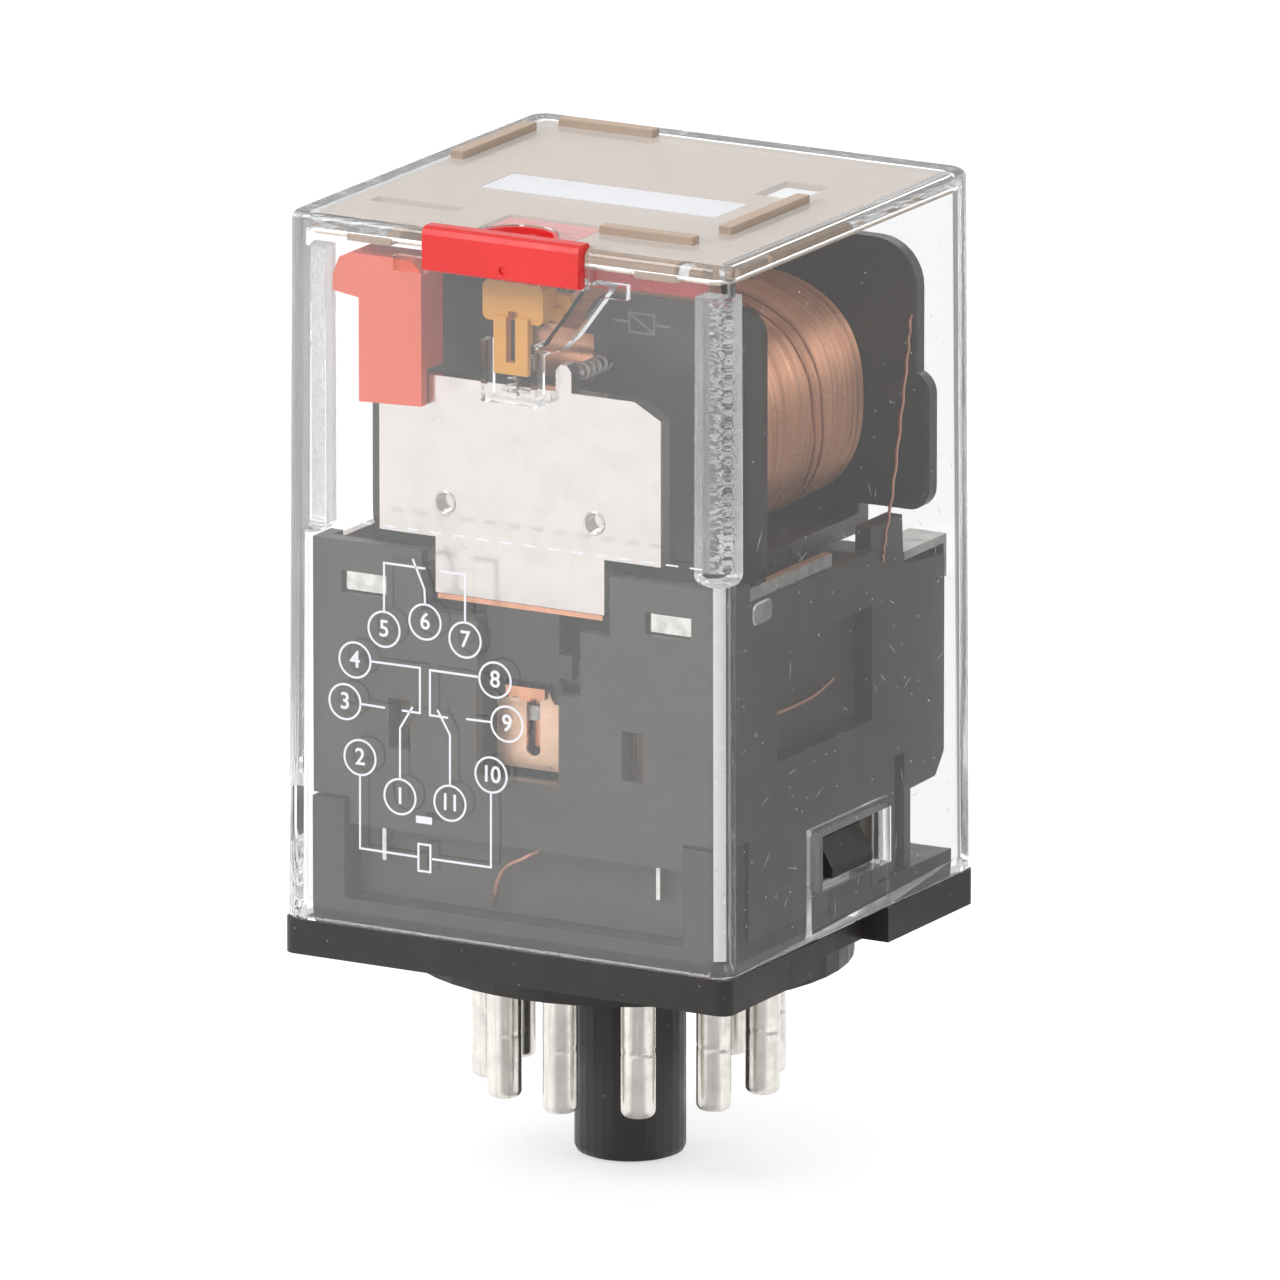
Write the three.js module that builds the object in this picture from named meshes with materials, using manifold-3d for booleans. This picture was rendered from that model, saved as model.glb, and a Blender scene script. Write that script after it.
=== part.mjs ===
// Eleven-pin plug-in control relay: three changeover contacts, clear snap-on cover,
// latching test lever, test button and mechanical operation indicator.
// Millimetres. Origin: key-post axis at the seating plane. +Z up, front (lever side) is -Y.

import * as THREE from 'three';
import { mergeVertices } from 'three/addons/utils/BufferGeometryUtils.js';
import Module from 'manifold-3d';

const wasm = await Module();
wasm.setup();

// ---------- driving dimensions ----------
const CASE_WIDTH = 34.2;            // square plan of the flange and cover
const TOTAL_HEIGHT = 52.5;          // seating plane to the top of the cover
const BOSS_RADIUS = 15.1;           // round boss that seats on the socket
const FLANGE_BOTTOM = 1.5;
const FLANGE_TOP = 3.9;
const PLINTH_TOP = 5.5;             // raised floor inside the cover
const POST_RADIUS = 3.78;
const POST_LENGTH = 14.0;
const PIN_COUNT = 11;
const PIN_CIRCLE_RADIUS = 9.525;
const PIN_RADIUS = 1.18;
const PIN_LENGTH = 9.1;
const PIN_SIDES = 16;
const WALL = 1.1;                   // cover wall
const CLEARANCE = 0.15;             // between a piece and the piece that it sits in
const FIT = 0.05;                   // between pieces that are pressed or stacked together

const HALF = CASE_WIDTH / 2;
const CAVITY = HALF - WALL - 0.25;  // half width of the room inside the cover, at its top
const COVER_DRAFT = 0.25;           // how much each side leans in over the cover's height

// magnet system, with the coil's axis along Y
const COIL_AXIS_Z = 36.75;
const COIL_HALF_WIDTH = 10.1;
const COIL_HALF_HEIGHT = 8.2;
const COIL_FRONT_Y = -8.15;
const COIL_BACK_Y = 12.95;
const FRONT_FLANGE = { front: -9.0, back: -8.2, halfWidth: 14.4, bottom: 28.7, top: 47.7 };
const REAR_FLANGE = { front: 13.0, back: 14.0, halfWidth: 14.0, wideHalf: 15.0, bottom: 29.3, top: 47.8 };
const CORE_HALF_WIDTH = 4.5;
const CORE_HALF_HEIGHT = 3.6;
const FORMER_WALL = 0.65;           // wall of the bobbin's tube around the core
const POLE_FACE_Y = -12.0;
const TENON = { halfWidth: 3.0, halfHeight: 2.4 };    // rear end of the core, staked into the yoke
// The copper ring round one half of the pole face.
const RING = { x: [0.65, 5.3], halfHeight: 4.5, strip: 0.8, sink: 0.2, depth: 1.2 };
const YOKE = { halfWidth: 9.0, bottom: 26.95, top: 28.25, front: -13.0, back: 15.35, legTop: 42.0 };
const ARMATURE = { front: -14.4, back: -13.2, halfWidth: 10.75, top: 42.05, shoulder: 31.0,
  tongueHalf: 6.45, bottom: 27.2 };

// contact set
const POLE_X = [-7.4, 0, 7.4];      // the three contact stacks
const POLE_NAMES = ['left', 'centre', 'right'];
const LEAF = { halfWidth: 2.55, front: -12.6, back: -12.35, bottom: 15.4, top: 21.0 };
const BLOCK_FRONT = -15.0;
const BLOCK_SPLIT = 4.65;           // the joint between the front and rear contact blocks
const BLOCK_HALF = 15.55;
const BLOCK_TOP = 30.05;

// ---------- materials ----------
const plastic = (color, roughness) => new THREE.MeshStandardMaterial({ color, roughness, metalness: 0 });
const metal = (color, roughness) => new THREE.MeshStandardMaterial({ color, roughness, metalness: 1 });
const blackPlastic = plastic(0x2a2826, 0.55);
const greyPlastic = plastic(0x3e3d3b, 0.6);
const beigePlastic = plastic(0xcbbcae, 0.6);
const redPlastic = plastic(0xe8282a, 0.35);
const yellowPlastic = plastic(0xe0a030, 0.4);
const orangePlastic = plastic(0xf0634a, 0.5);
const whiteCard = plastic(0xf2f2f6, 0.7);
const clearPlastic = new THREE.MeshStandardMaterial({
  color: 0xeef2f4, roughness: 0.05, metalness: 0, transparent: true, opacity: 0.25 });
const nickel = metal(0xd8d4cc, 0.25);
const tin = metal(0xbdb8ae, 0.35);
const steel = metal(0x8f8f8d, 0.4);
const copper = metal(0xd79468, 0.3);
const springCopper = metal(0xe8b590, 0.3);
const windingCopper = metal(0xb87450, 0.45);
const silver = metal(0xdcd9d2, 0.3);

// ---------- solids ----------
function toSolid(geometry) {
  const bare = geometry.index ? geometry.toNonIndexed() : geometry.clone();
  bare.deleteAttribute('normal');
  bare.deleteAttribute('uv');
  const merged = mergeVertices(bare, 1e-5);
  return new wasm.Manifold(new wasm.Mesh({
    numProp: 3,
    vertProperties: new Float32Array(merged.attributes.position.array),
    triVerts: new Uint32Array(merged.index.array),
  }));
}

function toGeometry(solid) {
  const mesh = solid.getMesh();
  const geometry = new THREE.BufferGeometry();
  geometry.setAttribute('position', new THREE.BufferAttribute(new Float32Array(mesh.vertProperties), 3));
  geometry.setIndex(new THREE.BufferAttribute(new Uint32Array(mesh.triVerts), 1));
  geometry.computeVertexNormals();
  return geometry;
}

function join(...solids) {
  return solids.reduce((whole, piece) => whole.add(piece));
}

function cut(solid, ...tools) {
  return tools.reduce((rest, tool) => rest.subtract(tool), solid);
}

// a block between two corners
function block([x0, x1], [y0, y1], [z0, z1]) {
  const geometry = new THREE.BoxGeometry(x1 - x0, y1 - y0, z1 - z0);
  geometry.translate((x0 + x1) / 2, (y0 + y1) / 2, (z0 + z1) / 2);
  return toSolid(geometry);
}

// the stretch from a to b, on the right for side 1 and mirrored to the left for side -1
function span(side, a, b) {
  return side > 0 ? [a, b] : [-b, -a];
}

function bothSides(make) {
  return [1, -1].map(make);
}

function outline(points) {
  return new THREE.Shape(points.map(([a, b]) => new THREE.Vector2(a, b)));
}

function mirroredOutline(points, side) {
  return side > 0 ? outline(points) : outline(points.map(([a, b]) => [-a, b]).reverse());
}

function roundedRect(halfA, halfB, radius, middleB = 0) {
  const corners = [[1, -1, -0.5], [1, 1, 0], [-1, 1, 0.5], [-1, -1, 1]];
  const shape = new THREE.Shape();
  corners.forEach(([signA, signB, quarter]) => {
    const a = signA * (halfA - radius);
    const b = middleB + signB * (halfB - radius);
    shape.absarc(a, b, radius, quarter * Math.PI, (quarter + 0.5) * Math.PI);
  });
  shape.closePath();
  return shape;
}

function extrude(shape, depth, curveSegments) {
  return new THREE.ExtrudeGeometry(shape, { depth, bevelEnabled: false, curveSegments });
}

// a shape drawn in X and Y, raised from z0 to z1
function plate(shape, [z0, z1], curveSegments = 4) {
  return toSolid(extrude(shape, z1 - z0, curveSegments).translate(0, 0, z0));
}

// a shape drawn in X and Z (seen from the front), reaching from y0 back to y1
function panel(shape, [y0, y1], curveSegments = 4) {
  return toSolid(extrude(shape, y1 - y0, curveSegments).rotateX(Math.PI / 2).translate(0, y1, 0));
}

// a shape drawn in Y and Z (seen from the right), reaching from x0 to x1
function profile(shape, [x0, x1], curveSegments = 4) {
  const geometry = extrude(shape, x1 - x0, curveSegments);
  return toSolid(geometry.rotateX(Math.PI / 2).rotateZ(Math.PI / 2).translate(x0, 0, 0));
}

// a round bar along Z
function roundBar(radius, [z0, z1], sides, x = 0, y = 0) {
  const geometry = new THREE.CylinderGeometry(radius, radius, z1 - z0, sides);
  return toSolid(geometry.rotateX(Math.PI / 2).translate(x, y, (z0 + z1) / 2));
}

// a round bar along Y
function crossBar(radius, [y0, y1], x, z, sides = 12) {
  const geometry = new THREE.CylinderGeometry(radius, radius, y1 - y0, sides);
  return toSolid(geometry.translate(x, (y0 + y1) / 2, z));
}

// a bar of round section along a curve
function tube(curve, radius, steps, halfSides = 4) {
  const disc = new THREE.Shape();
  disc.absarc(0, 0, radius, 0, Math.PI * 2);
  return toSolid(new THREE.ExtrudeGeometry(disc, {
    steps, curveSegments: halfSides, bevelEnabled: false, extrudePath: curve }));
}

// a wire along a smooth curve through the points
function wire(points, radius, steps = 10) {
  const through = points.map((point) => new THREE.Vector3(...point));
  return tube(new THREE.CatmullRomCurve3(through), radius, steps);
}

class Helix extends THREE.Curve {
  constructor(start, end, radius, turns) {
    super();
    Object.assign(this, { start, end, radius, turns });
  }

  getPoint(t, target = new THREE.Vector3()) {
    const turn = t * this.turns * Math.PI * 2;
    target.copy(this.start).lerp(this.end, t);
    const alongY = Math.abs(this.end.y - this.start.y) > Math.abs(this.end.z - this.start.z);
    target.x += this.radius * Math.cos(turn);
    target[alongY ? 'z' : 'y'] += this.radius * Math.sin(turn);
    return target;
  }
}

const relay = new THREE.Group();

function addPart(name, solid, material) {
  const mesh = new THREE.Mesh(toGeometry(solid), material);
  mesh.name = name;
  relay.add(mesh);
  return mesh;
}

// pin 1 stands just past the key, and the pins count anticlockwise seen from above
function pinPlace(index) {
  const angle = Math.PI / 2 + ((index + 0.5) * 2 * Math.PI) / PIN_COUNT;
  return [PIN_CIRCLE_RADIUS * Math.cos(angle), PIN_CIRCLE_RADIUS * Math.sin(angle)];
}

// ---------- base: flange, boss and key post in one moulding ----------
const LATCH = { front: -4.5, back: 4.9, depth: 2.0 };   // notch in the flange beside each cover latch
const PLINTH_HALF = 15.4;
const CORNER_POST = { inner: 12.95, top: 12.3 };        // the two front corner posts of the base
const KEY = { halfWidth: 0.6, height: 1.0, tipGap: 0.8 };
const HOOK = { front: -2.0, back: 3.5, inner: 13.4, outer: 15.55, tip: 16.65, bottom: 7.4, top: 10.0 };

function makeKeyPost() {
  const edge = 0.5;
  const points = [
    [0, -POST_LENGTH], [POST_RADIUS - edge, -POST_LENGTH],
    [POST_RADIUS - edge * 0.3, -POST_LENGTH + edge * 0.3], [POST_RADIUS, -POST_LENGTH + edge],
    [POST_RADIUS, 0.2], [0, 0.2]];
  const post = new THREE.LatheGeometry(points.map(([r, z]) => new THREE.Vector2(r, z)), 32);
  const key = block([-KEY.halfWidth, KEY.halfWidth], [POST_RADIUS - edge, POST_RADIUS + KEY.height],
    [-POST_LENGTH + KEY.tipGap, 0.2]);
  return join(toSolid(post.rotateX(Math.PI / 2)), key);
}

function makeSnapHook(side) {
  return panel(mirroredOutline([
    [HOOK.inner, PLINTH_TOP - 0.5], [HOOK.outer, PLINTH_TOP - 0.5], [HOOK.outer, HOOK.bottom],
    [HOOK.tip, HOOK.bottom + 0.1], [HOOK.tip, HOOK.bottom + 0.7], [HOOK.outer, HOOK.top],
    [HOOK.inner, HOOK.top]], side), [HOOK.front, HOOK.back]);
}

function makeBase() {
  const flange = plate(roundedRect(HALF, HALF, 0.9), [FLANGE_BOTTOM, FLANGE_TOP]);
  const notches = bothSides((side) => block(span(side, HALF - LATCH.depth, HALF + 1),
    [LATCH.front, LATCH.back], [FLANGE_BOTTOM - 1, FLANGE_TOP + 1]));
  const boss = roundBar(BOSS_RADIUS, [0, FLANGE_BOTTOM + 0.2], 48);
  const plinthSpan = [-PLINTH_HALF, PLINTH_HALF];
  const plinth = block(plinthSpan, plinthSpan, [FLANGE_TOP - 0.2, PLINTH_TOP]);
  const cornerPosts = bothSides((side) => block(span(side, CORNER_POST.inner, PLINTH_HALF),
    [-PLINTH_HALF, -CORNER_POST.inner], [FLANGE_TOP, CORNER_POST.top]));
  const bores = [...Array(PIN_COUNT).keys()].map((index) => {
    const [x, y] = pinPlace(index);
    return roundBar(PIN_RADIUS + FIT, [-1, PLINTH_TOP + 1], PIN_SIDES, x, y);
  });
  const body = join(cut(flange, ...notches), boss, plinth, ...cornerPosts, ...bothSides(makeSnapHook),
    makeKeyPost());
  return cut(body, ...bores);
}

addPart('base', makeBase(), blackPlastic);

// ---------- eleven plug pins ----------
function makePin() {
  const tip = 0.55;
  const tipSteps = 3;
  const points = [[0, -PIN_LENGTH]];
  for (let step = 0; step <= tipSteps; step += 1) {
    const turn = (step / tipSteps) * (Math.PI / 2);
    points.push([PIN_RADIUS - tip + tip * Math.sin(turn), -PIN_LENGTH + tip - tip * Math.cos(turn)]);
  }
  points.push([PIN_RADIUS, PLINTH_TOP - 0.1], [0, PLINTH_TOP - 0.1]);
  return toSolid(new THREE.LatheGeometry(points.map(([r, z]) => new THREE.Vector2(r, z)), PIN_SIDES)
    .rotateX(Math.PI / 2));
}

for (let index = 0; index < PIN_COUNT; index += 1) {
  const pin = addPart(`pin_${String(index + 1).padStart(2, '0')}`, makePin(), tin);
  const [x, y] = pinPlace(index);
  pin.position.set(x, y, 0);
}

// ---------- contact blocks ----------
const POCKET = { half: 11.2, front: -14.1, back: -9.6, bottom: 14.6 };    // room for the contact springs
const YOKE_BED = { half: 14.6, front: -13.9, bottom: 26.8 };              // the yoke and coil sit in here
const TONGUE_GAP = { half: 7.2, back: -11.0, bottom: 26.0 };              // for the armature's tongue
const STEM_WINDOW = { x: [-2.9, 4.95], bottom: 21.5 };                    // for the carrier's stem
const SPRING_WINDOW = { x: [-3.0, 3.3], z: [15.2, 21.6] };                // in front of the centre spring
const SLIT = { x: [8.1, 9.75], z: [16.2, 19.65] };                        // in front of each outer spring
const FOOT_RECESS = { half: 12.8, back: -13.4, top: 10.6 };
const POST_RECESS = { inner: 12.8, back: -12.75, top: 12.45 };            // around the base's corner posts
const SIDE_RECESS = { inner: 14.2, y: [-8.9, 4.1], z: [17.0, 24.9] };     // for the common leads
const SHOULDER = { inner: 14.2, front: -12.6, bottom: 28.6 };             // carries the side strips
const TERMINAL_SLOT = { x: [9.9, 13.4], back: -11.6, z: [26.45, 28.0] };

function makeFrontBlock() {
  const beyondFront = BLOCK_FRONT - 1;
  const beyondBack = BLOCK_SPLIT + 1;
  const beyondSide = BLOCK_HALF + 1;
  const beyondTop = BLOCK_TOP + 1;
  const below = PLINTH_TOP - 1;
  const frontWall = [beyondFront, POCKET.front + 1];
  return cut(
    block([-BLOCK_HALF, BLOCK_HALF], [BLOCK_FRONT, BLOCK_SPLIT], [PLINTH_TOP + FIT, BLOCK_TOP]),
    block([-YOKE_BED.half, YOKE_BED.half], [YOKE_BED.front, beyondBack], [YOKE_BED.bottom, beyondTop]),
    block([-TONGUE_GAP.half, TONGUE_GAP.half], [beyondFront, TONGUE_GAP.back],
      [TONGUE_GAP.bottom, beyondTop]),
    block([-POCKET.half, POCKET.half], [POCKET.front, POCKET.back], [POCKET.bottom, beyondTop]),
    block(STEM_WINDOW.x, frontWall, [STEM_WINDOW.bottom, beyondTop]),
    block(SPRING_WINDOW.x, frontWall, SPRING_WINDOW.z),
    block([-FOOT_RECESS.half, FOOT_RECESS.half], [beyondFront, FOOT_RECESS.back], [below, FOOT_RECESS.top]),
    ...bothSides((side) => join(
      block(span(side, ...SLIT.x), frontWall, SLIT.z),
      block(span(side, ...TERMINAL_SLOT.x), [beyondFront, TERMINAL_SLOT.back], TERMINAL_SLOT.z),
      block(span(side, POST_RECESS.inner, beyondSide), [beyondFront, POST_RECESS.back],
        [below, POST_RECESS.top]),
      block(span(side, SIDE_RECESS.inner, beyondSide), SIDE_RECESS.y, SIDE_RECESS.z),
      block(span(side, SHOULDER.inner, beyondSide), [SHOULDER.front, beyondBack],
        [SHOULDER.bottom, beyondTop]),
      block(span(side, HOOK.inner - CLEARANCE, beyondSide), [HOOK.front - CLEARANCE, HOOK.back + CLEARANCE],
        [below, HOOK.top + CLEARANCE]))),
  );
}

function makeRearBlock() {
  const half = 15.1;
  const bedHalf = 13.9;
  const groove = { inner: 14.4, y: [8.0, 9.4], top: 13.5 };
  const side = outline([
    [BLOCK_SPLIT + FIT, PLINTH_TOP + FIT], [10.25, PLINTH_TOP + FIT], [10.25, 10.8], [13.7, 10.9],
    [14.9, 12.4], [14.9, 26.0], [9.2, 26.6], [9.0, BLOCK_TOP], [BLOCK_SPLIT + FIT, BLOCK_TOP]]);
  return cut(
    profile(side, [-half, half]),
    block([-bedHalf, bedHalf], [BLOCK_SPLIT - 1, half + 1], [YOKE_BED.bottom, BLOCK_TOP + 1]),
    ...bothSides((sign) => block(span(sign, groove.inner, half + 1), groove.y,
      [PLINTH_TOP - 1, groove.top])),
  );
}

addPart('contact_block_front', makeFrontBlock(), greyPlastic);
addPart('contact_block_rear', makeRearBlock(), greyPlastic);

// ---------- magnet system ----------
function makeBobbin() {
  const { front, back, halfWidth, bottom, top } = FRONT_FLANGE;
  const frontFlange = cut(
    panel(roundedRect(halfWidth, (top - bottom) / 2, 1.8, (top + bottom) / 2), [front, back]),
    panel(outline([[-2.6, 39.4], [2.6, 39.4], [2.6, 44.8], [1.6, 44.75], [2.9, 47.1], [4.1, 48.2],
      [-4.1, 48.2], [-2.9, 47.1], [-1.6, 44.75], [-2.6, 44.8]]), [front - 1, back + 1]));
  const rear = REAR_FLANGE;
  const rearDepth = [rear.front, rear.back];
  const rearFlange = join(
    panel(roundedRect(rear.halfWidth, (rear.top - rear.bottom) / 2, 3.2, (rear.top + rear.bottom) / 2),
      rearDepth),
    panel(roundedRect(rear.wideHalf, 4.8, 1.6, rear.bottom + 4.8), rearDepth));
  const former = section(CORE_HALF_WIDTH + FORMER_WALL, CORE_HALF_HEIGHT + FORMER_WALL, [front, rear.back]);
  const bore = section(CORE_HALF_WIDTH + FIT, CORE_HALF_HEIGHT + FIT, [front - 1, rear.back + 1]);
  return cut(join(frontFlange, rearFlange, former), bore);
}

// a bar of rectangular section on the coil's axis
function section(halfWidth, halfHeight, depth) {
  return block([-halfWidth, halfWidth], depth, [COIL_AXIS_Z - halfHeight, COIL_AXIS_Z + halfHeight]);
}

function makeWinding() {
  const outer = panel(roundedRect(COIL_HALF_WIDTH, COIL_HALF_HEIGHT, 6.2, COIL_AXIS_Z),
    [COIL_FRONT_Y, COIL_BACK_Y], 8);
  const inner = section(CORE_HALF_WIDTH + FORMER_WALL + FIT, CORE_HALF_HEIGHT + FORMER_WALL + FIT,
    [COIL_FRONT_Y - 1, COIL_BACK_Y + 1]);
  return cut(outer, inner);
}

function makeCore() {
  const bar = section(CORE_HALF_WIDTH, CORE_HALF_HEIGHT, [POLE_FACE_Y, REAR_FLANGE.back + FIT]);
  const shadingSlot = block([RING.x[0] - FIT, RING.x[0] + RING.strip + FIT],
    [POLE_FACE_Y - 1, POLE_FACE_Y + 1.6], [COIL_AXIS_Z - 5, COIL_AXIS_Z + 5]);
  const tenon = section(TENON.halfWidth, TENON.halfHeight, [REAR_FLANGE.back, YOKE.back + 0.15]);
  return join(cut(bar, shadingSlot), tenon);
}

function makeShadingRing() {
  const { x, halfHeight, strip, sink, depth } = RING;
  const front = POLE_FACE_Y + sink;
  const back = front + depth;
  const outer = block(x, [front, back], [COIL_AXIS_Z - halfHeight, COIL_AXIS_Z + halfHeight]);
  const inner = block([x[0] + strip, x[1] - strip + 0.1], [front - 1, back + 1],
    [COIL_AXIS_Z - halfHeight + strip, COIL_AXIS_Z + halfHeight - strip]);
  return cut(outer, inner);
}

function makeYoke() {
  const foot = block([-YOKE.halfWidth, YOKE.halfWidth], [YOKE.front, YOKE.back], [YOKE.bottom, YOKE.top]);
  const leg = block([-YOKE.halfWidth, YOKE.halfWidth], [REAR_FLANGE.back + 2 * FIT, YOKE.back],
    [YOKE.bottom, YOKE.legTop]);
  const socket = section(TENON.halfWidth + FIT, TENON.halfHeight + FIT, [REAR_FLANGE.back, YOKE.back + 1]);
  return cut(join(foot, leg), socket);
}

addPart('bobbin', makeBobbin(), blackPlastic);
addPart('coil_winding', makeWinding(), windingCopper);
addPart('core', makeCore(), steel);
addPart('shading_ring', makeShadingRing(), copper);
addPart('yoke', makeYoke(), nickel);

// ---------- armature, contact carrier and indicator flag: one moving body ----------
function makeArmature() {
  const { halfWidth, top, shoulder, tongueHalf, bottom, front, back } = ARMATURE;
  const chamfer = [2.0, 1.1];
  const dimple = { x: 5.7, z: 33.4, radius: 0.7, depth: 0.6 };
  const half = [
    [tongueHalf, bottom], [tongueHalf, shoulder], [halfWidth, shoulder],
    [halfWidth, top - chamfer[1]], [halfWidth - chamfer[0], top]];
  const mirrored = half.map(([x, z]) => [-x, z]).reverse();
  const sheet = join(
    panel(outline([...half, ...mirrored]), [front, back]),
    panel(outline([[2.75, top - 0.3], [3.95, top - 0.3], [3.95, top + 1.4], [3.6, top + 1.85],
      [3.1, top + 1.85], [2.75, top + 1.4]]), [front, back]));
  const dimples = [-dimple.x, dimple.x].map((x) => crossBar(dimple.radius,
    [front - 1, front + dimple.depth], x, dimple.z));
  return cut(sheet, ...dimples);
}

// hangs below the armature, and holds the contact springs back with a pair of pushers each
function makeCarrier() {
  const stem = block([-2.6, 2.9], [-14.2, -13.3], [21.9, 26.75]);
  const nose = block([-2.6, 3.9], [-14.2, -12.8], [22.4, 24.0]);
  const bar = block([-10.4, 10.4], [-13.55, -12.75], [22.0, 23.6]);
  const pusher = { offset: 2.15, halfWidth: 0.3, bottom: 20.2 };
  const pushers = POLE_X.flatMap((x) => [-pusher.offset, pusher.offset].map((offset) => {
    const middle = x + offset;
    return block([middle - pusher.halfWidth, middle + pusher.halfWidth], [-13.05, LEAF.front - FIT],
      [pusher.bottom, 22.2]);
  }));
  return join(stem, nose, bar, ...pushers);
}

function makeFlag() {
  const head = [[-7.0, 49.3], [-7.6, 49.9], [-12.5, 49.9], [-13.3, 49.5], [-13.8, 48.2], [-13.8, 47.2],
    [-11.8, 46.9]];
  const apron = panel(outline([[-11.8, 39.8], [-7.0, 40.0], ...head]), [-15.3, -14.55]);
  const arm = panel(outline([[-11.8, 42.4], [-7.0, 42.4], ...head]), [-14.7, -12.4]);
  return join(apron, arm);
}

addPart('armature', makeArmature(), nickel);
addPart('hinge_spring', block([-6.3, 6.3], [-14.35, -13.25], [26.8, ARMATURE.bottom - FIT]), copper);
addPart('contact_carrier', makeCarrier(), blackPlastic);
addPart('indicator_flag', makeFlag(), orangePlastic);

// ---------- contact springs and fixed contacts ----------
function makeLeaf(centre) {
  const { halfWidth, front, back, bottom, top } = LEAF;
  const notch = 0.35;
  const slotHalf = 0.52;
  const finger = (side) => {
    const inner = slotHalf * side;
    const outer = halfWidth * side;
    const middle = (inner + outer) / 2;
    const points = [
      [centre + inner, 16.4], [centre + outer, 16.4], [centre + outer, top],
      [centre + middle + notch * side, top], [centre + middle, top - 0.8],
      [centre + middle - notch * side, top], [centre + inner, top]];
    return side > 0 ? outline(points) : outline(points.reverse());
  };
  const root = block([centre - halfWidth, centre + halfWidth], [front, back], [bottom, 16.45]);
  const footDepth = [front, back + 0.7];
  const foot = block([centre - halfWidth, centre + halfWidth], footDepth, [bottom, bottom + 0.25]);
  return join(root, foot, panel(finger(1), [front, back]), panel(finger(-1), [front, back]));
}

// the moving contact is on the back of the spring, and its fixed partners are behind it and in front
const MOVING_CONTACT = { half: 2.0, z: [18.7, 19.7], front: LEAF.back + 0.02, back: LEAF.back + 0.45 };
const CLOSED_CONTACT = { half: 2.2, z: [16.8, 20.2], thick: 0.4, rodHalf: 1.2, rodHeight: 0.5 };
const OPEN_CONTACT = { half: 1.5, y: [-13.7, -13.2], z: [20.6, 21.3], rodHalf: 0.38, rodZ: [20.35, 20.8] };
const CONTACT_ROOT = POCKET.back - FIT;

function makeClosedContact(centre) {
  const { half, z, thick, rodHalf, rodHeight } = CLOSED_CONTACT;
  const front = MOVING_CONTACT.back + FIT;
  return join(
    block([centre - half, centre + half], [front, front + thick], z),
    block([centre - rodHalf, centre + rodHalf], [front, CONTACT_ROOT], [z[0], z[0] + rodHeight]));
}

function makeOpenContact(centre) {
  const { half, y, z, rodHalf, rodZ } = OPEN_CONTACT;
  return join(
    block([centre - half, centre + half], y, z),
    block([centre - rodHalf, centre + rodHalf], [y[0], CONTACT_ROOT], rodZ));
}

POLE_X.forEach((centre, index) => {
  const name = POLE_NAMES[index];
  const { half, front, back, z } = MOVING_CONTACT;
  addPart(`contact_spring_${name}`, makeLeaf(centre), springCopper);
  addPart(`moving_contact_${name}`, block([centre - half, centre + half], [front, back], z), silver);
  addPart(`closed_contact_${name}`, makeClosedContact(centre), copper);
  addPart(`open_contact_${name}`, makeOpenContact(centre), copper);
});

// ---------- armature return spring and wiring ----------
const RETURN_SPRING = { x: 3.55, z: 43.05, y: [-13.02, -9.15], radius: 0.5, wire: 0.12, turns: 5 };

function makeReturnSpring() {
  const { x, y, z, radius, turns } = RETURN_SPRING;
  const coil = new Helix(new THREE.Vector3(x, y[0], z), new THREE.Vector3(x, y[1], z), radius, turns);
  return tube(coil, RETURN_SPRING.wire, turns * 9, 3);
}

addPart('armature_spring', makeReturnSpring(), steel);

const LEAD_RADIUS = 0.1;
const BRAID_RADIUS = 0.16;

function sideWire(side, points, radius) {
  return wire(points.map(([x, y, z]) => [x * side, y, z]), radius);
}

bothSides((side) => {
  const name = side > 0 ? 'right' : 'left';
  const coilLead = [[13.2, 12.8, 42.5], [13.4, 12.2, 38.5], [15.0, 10.6, 32.0], [15.3, 9.7, 29.6],
    [15.3, 8.7, 27.4]];
  const commonLead = [[14.9, -8.6, 20.1], [14.8, -5.6, 20.0], [14.85, -2.6, 20.15], [14.7, 0.2, 20.6]];
  addPart(`coil_lead_${name}`, sideWire(side, coilLead, LEAD_RADIUS), copper);
  addPart(`common_lead_${name}`, sideWire(side, commonLead, BRAID_RADIUS), copper);
  addPart(`front_terminal_${name}`, block(span(side, 10.1, 13.2), [-14.6, -12.0], [26.6, 27.85]), silver);
  addPart(`side_strip_${name}`, block(span(side, 14.65, 15.3), [-12.3, -1.0], [28.65, 29.6]), silver);
  addPart(`rear_terminal_${name}`, join(
    block(span(side, 12.2, 15.0), [9.5, 15.2], [26.75, 27.35]),
    block(span(side, 12.2, 15.0), [14.95, 15.35], [24.4, 27.35])), silver);
  addPart(`coil_terminal_${name}`, block(span(side, 10.35, 10.65), [-14.3, -13.45], [8.2, 10.4]), silver);
});
addPart('common_lead_centre',
  wire([[-2.3, -13.8, 6.0], [-2.0, -14.1, 7.4], [-1.2, -14.3, 8.9], [0.2, -14.2, 9.7], [1.2, -13.9, 10.3]],
    BRAID_RADIUS), copper);

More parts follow.
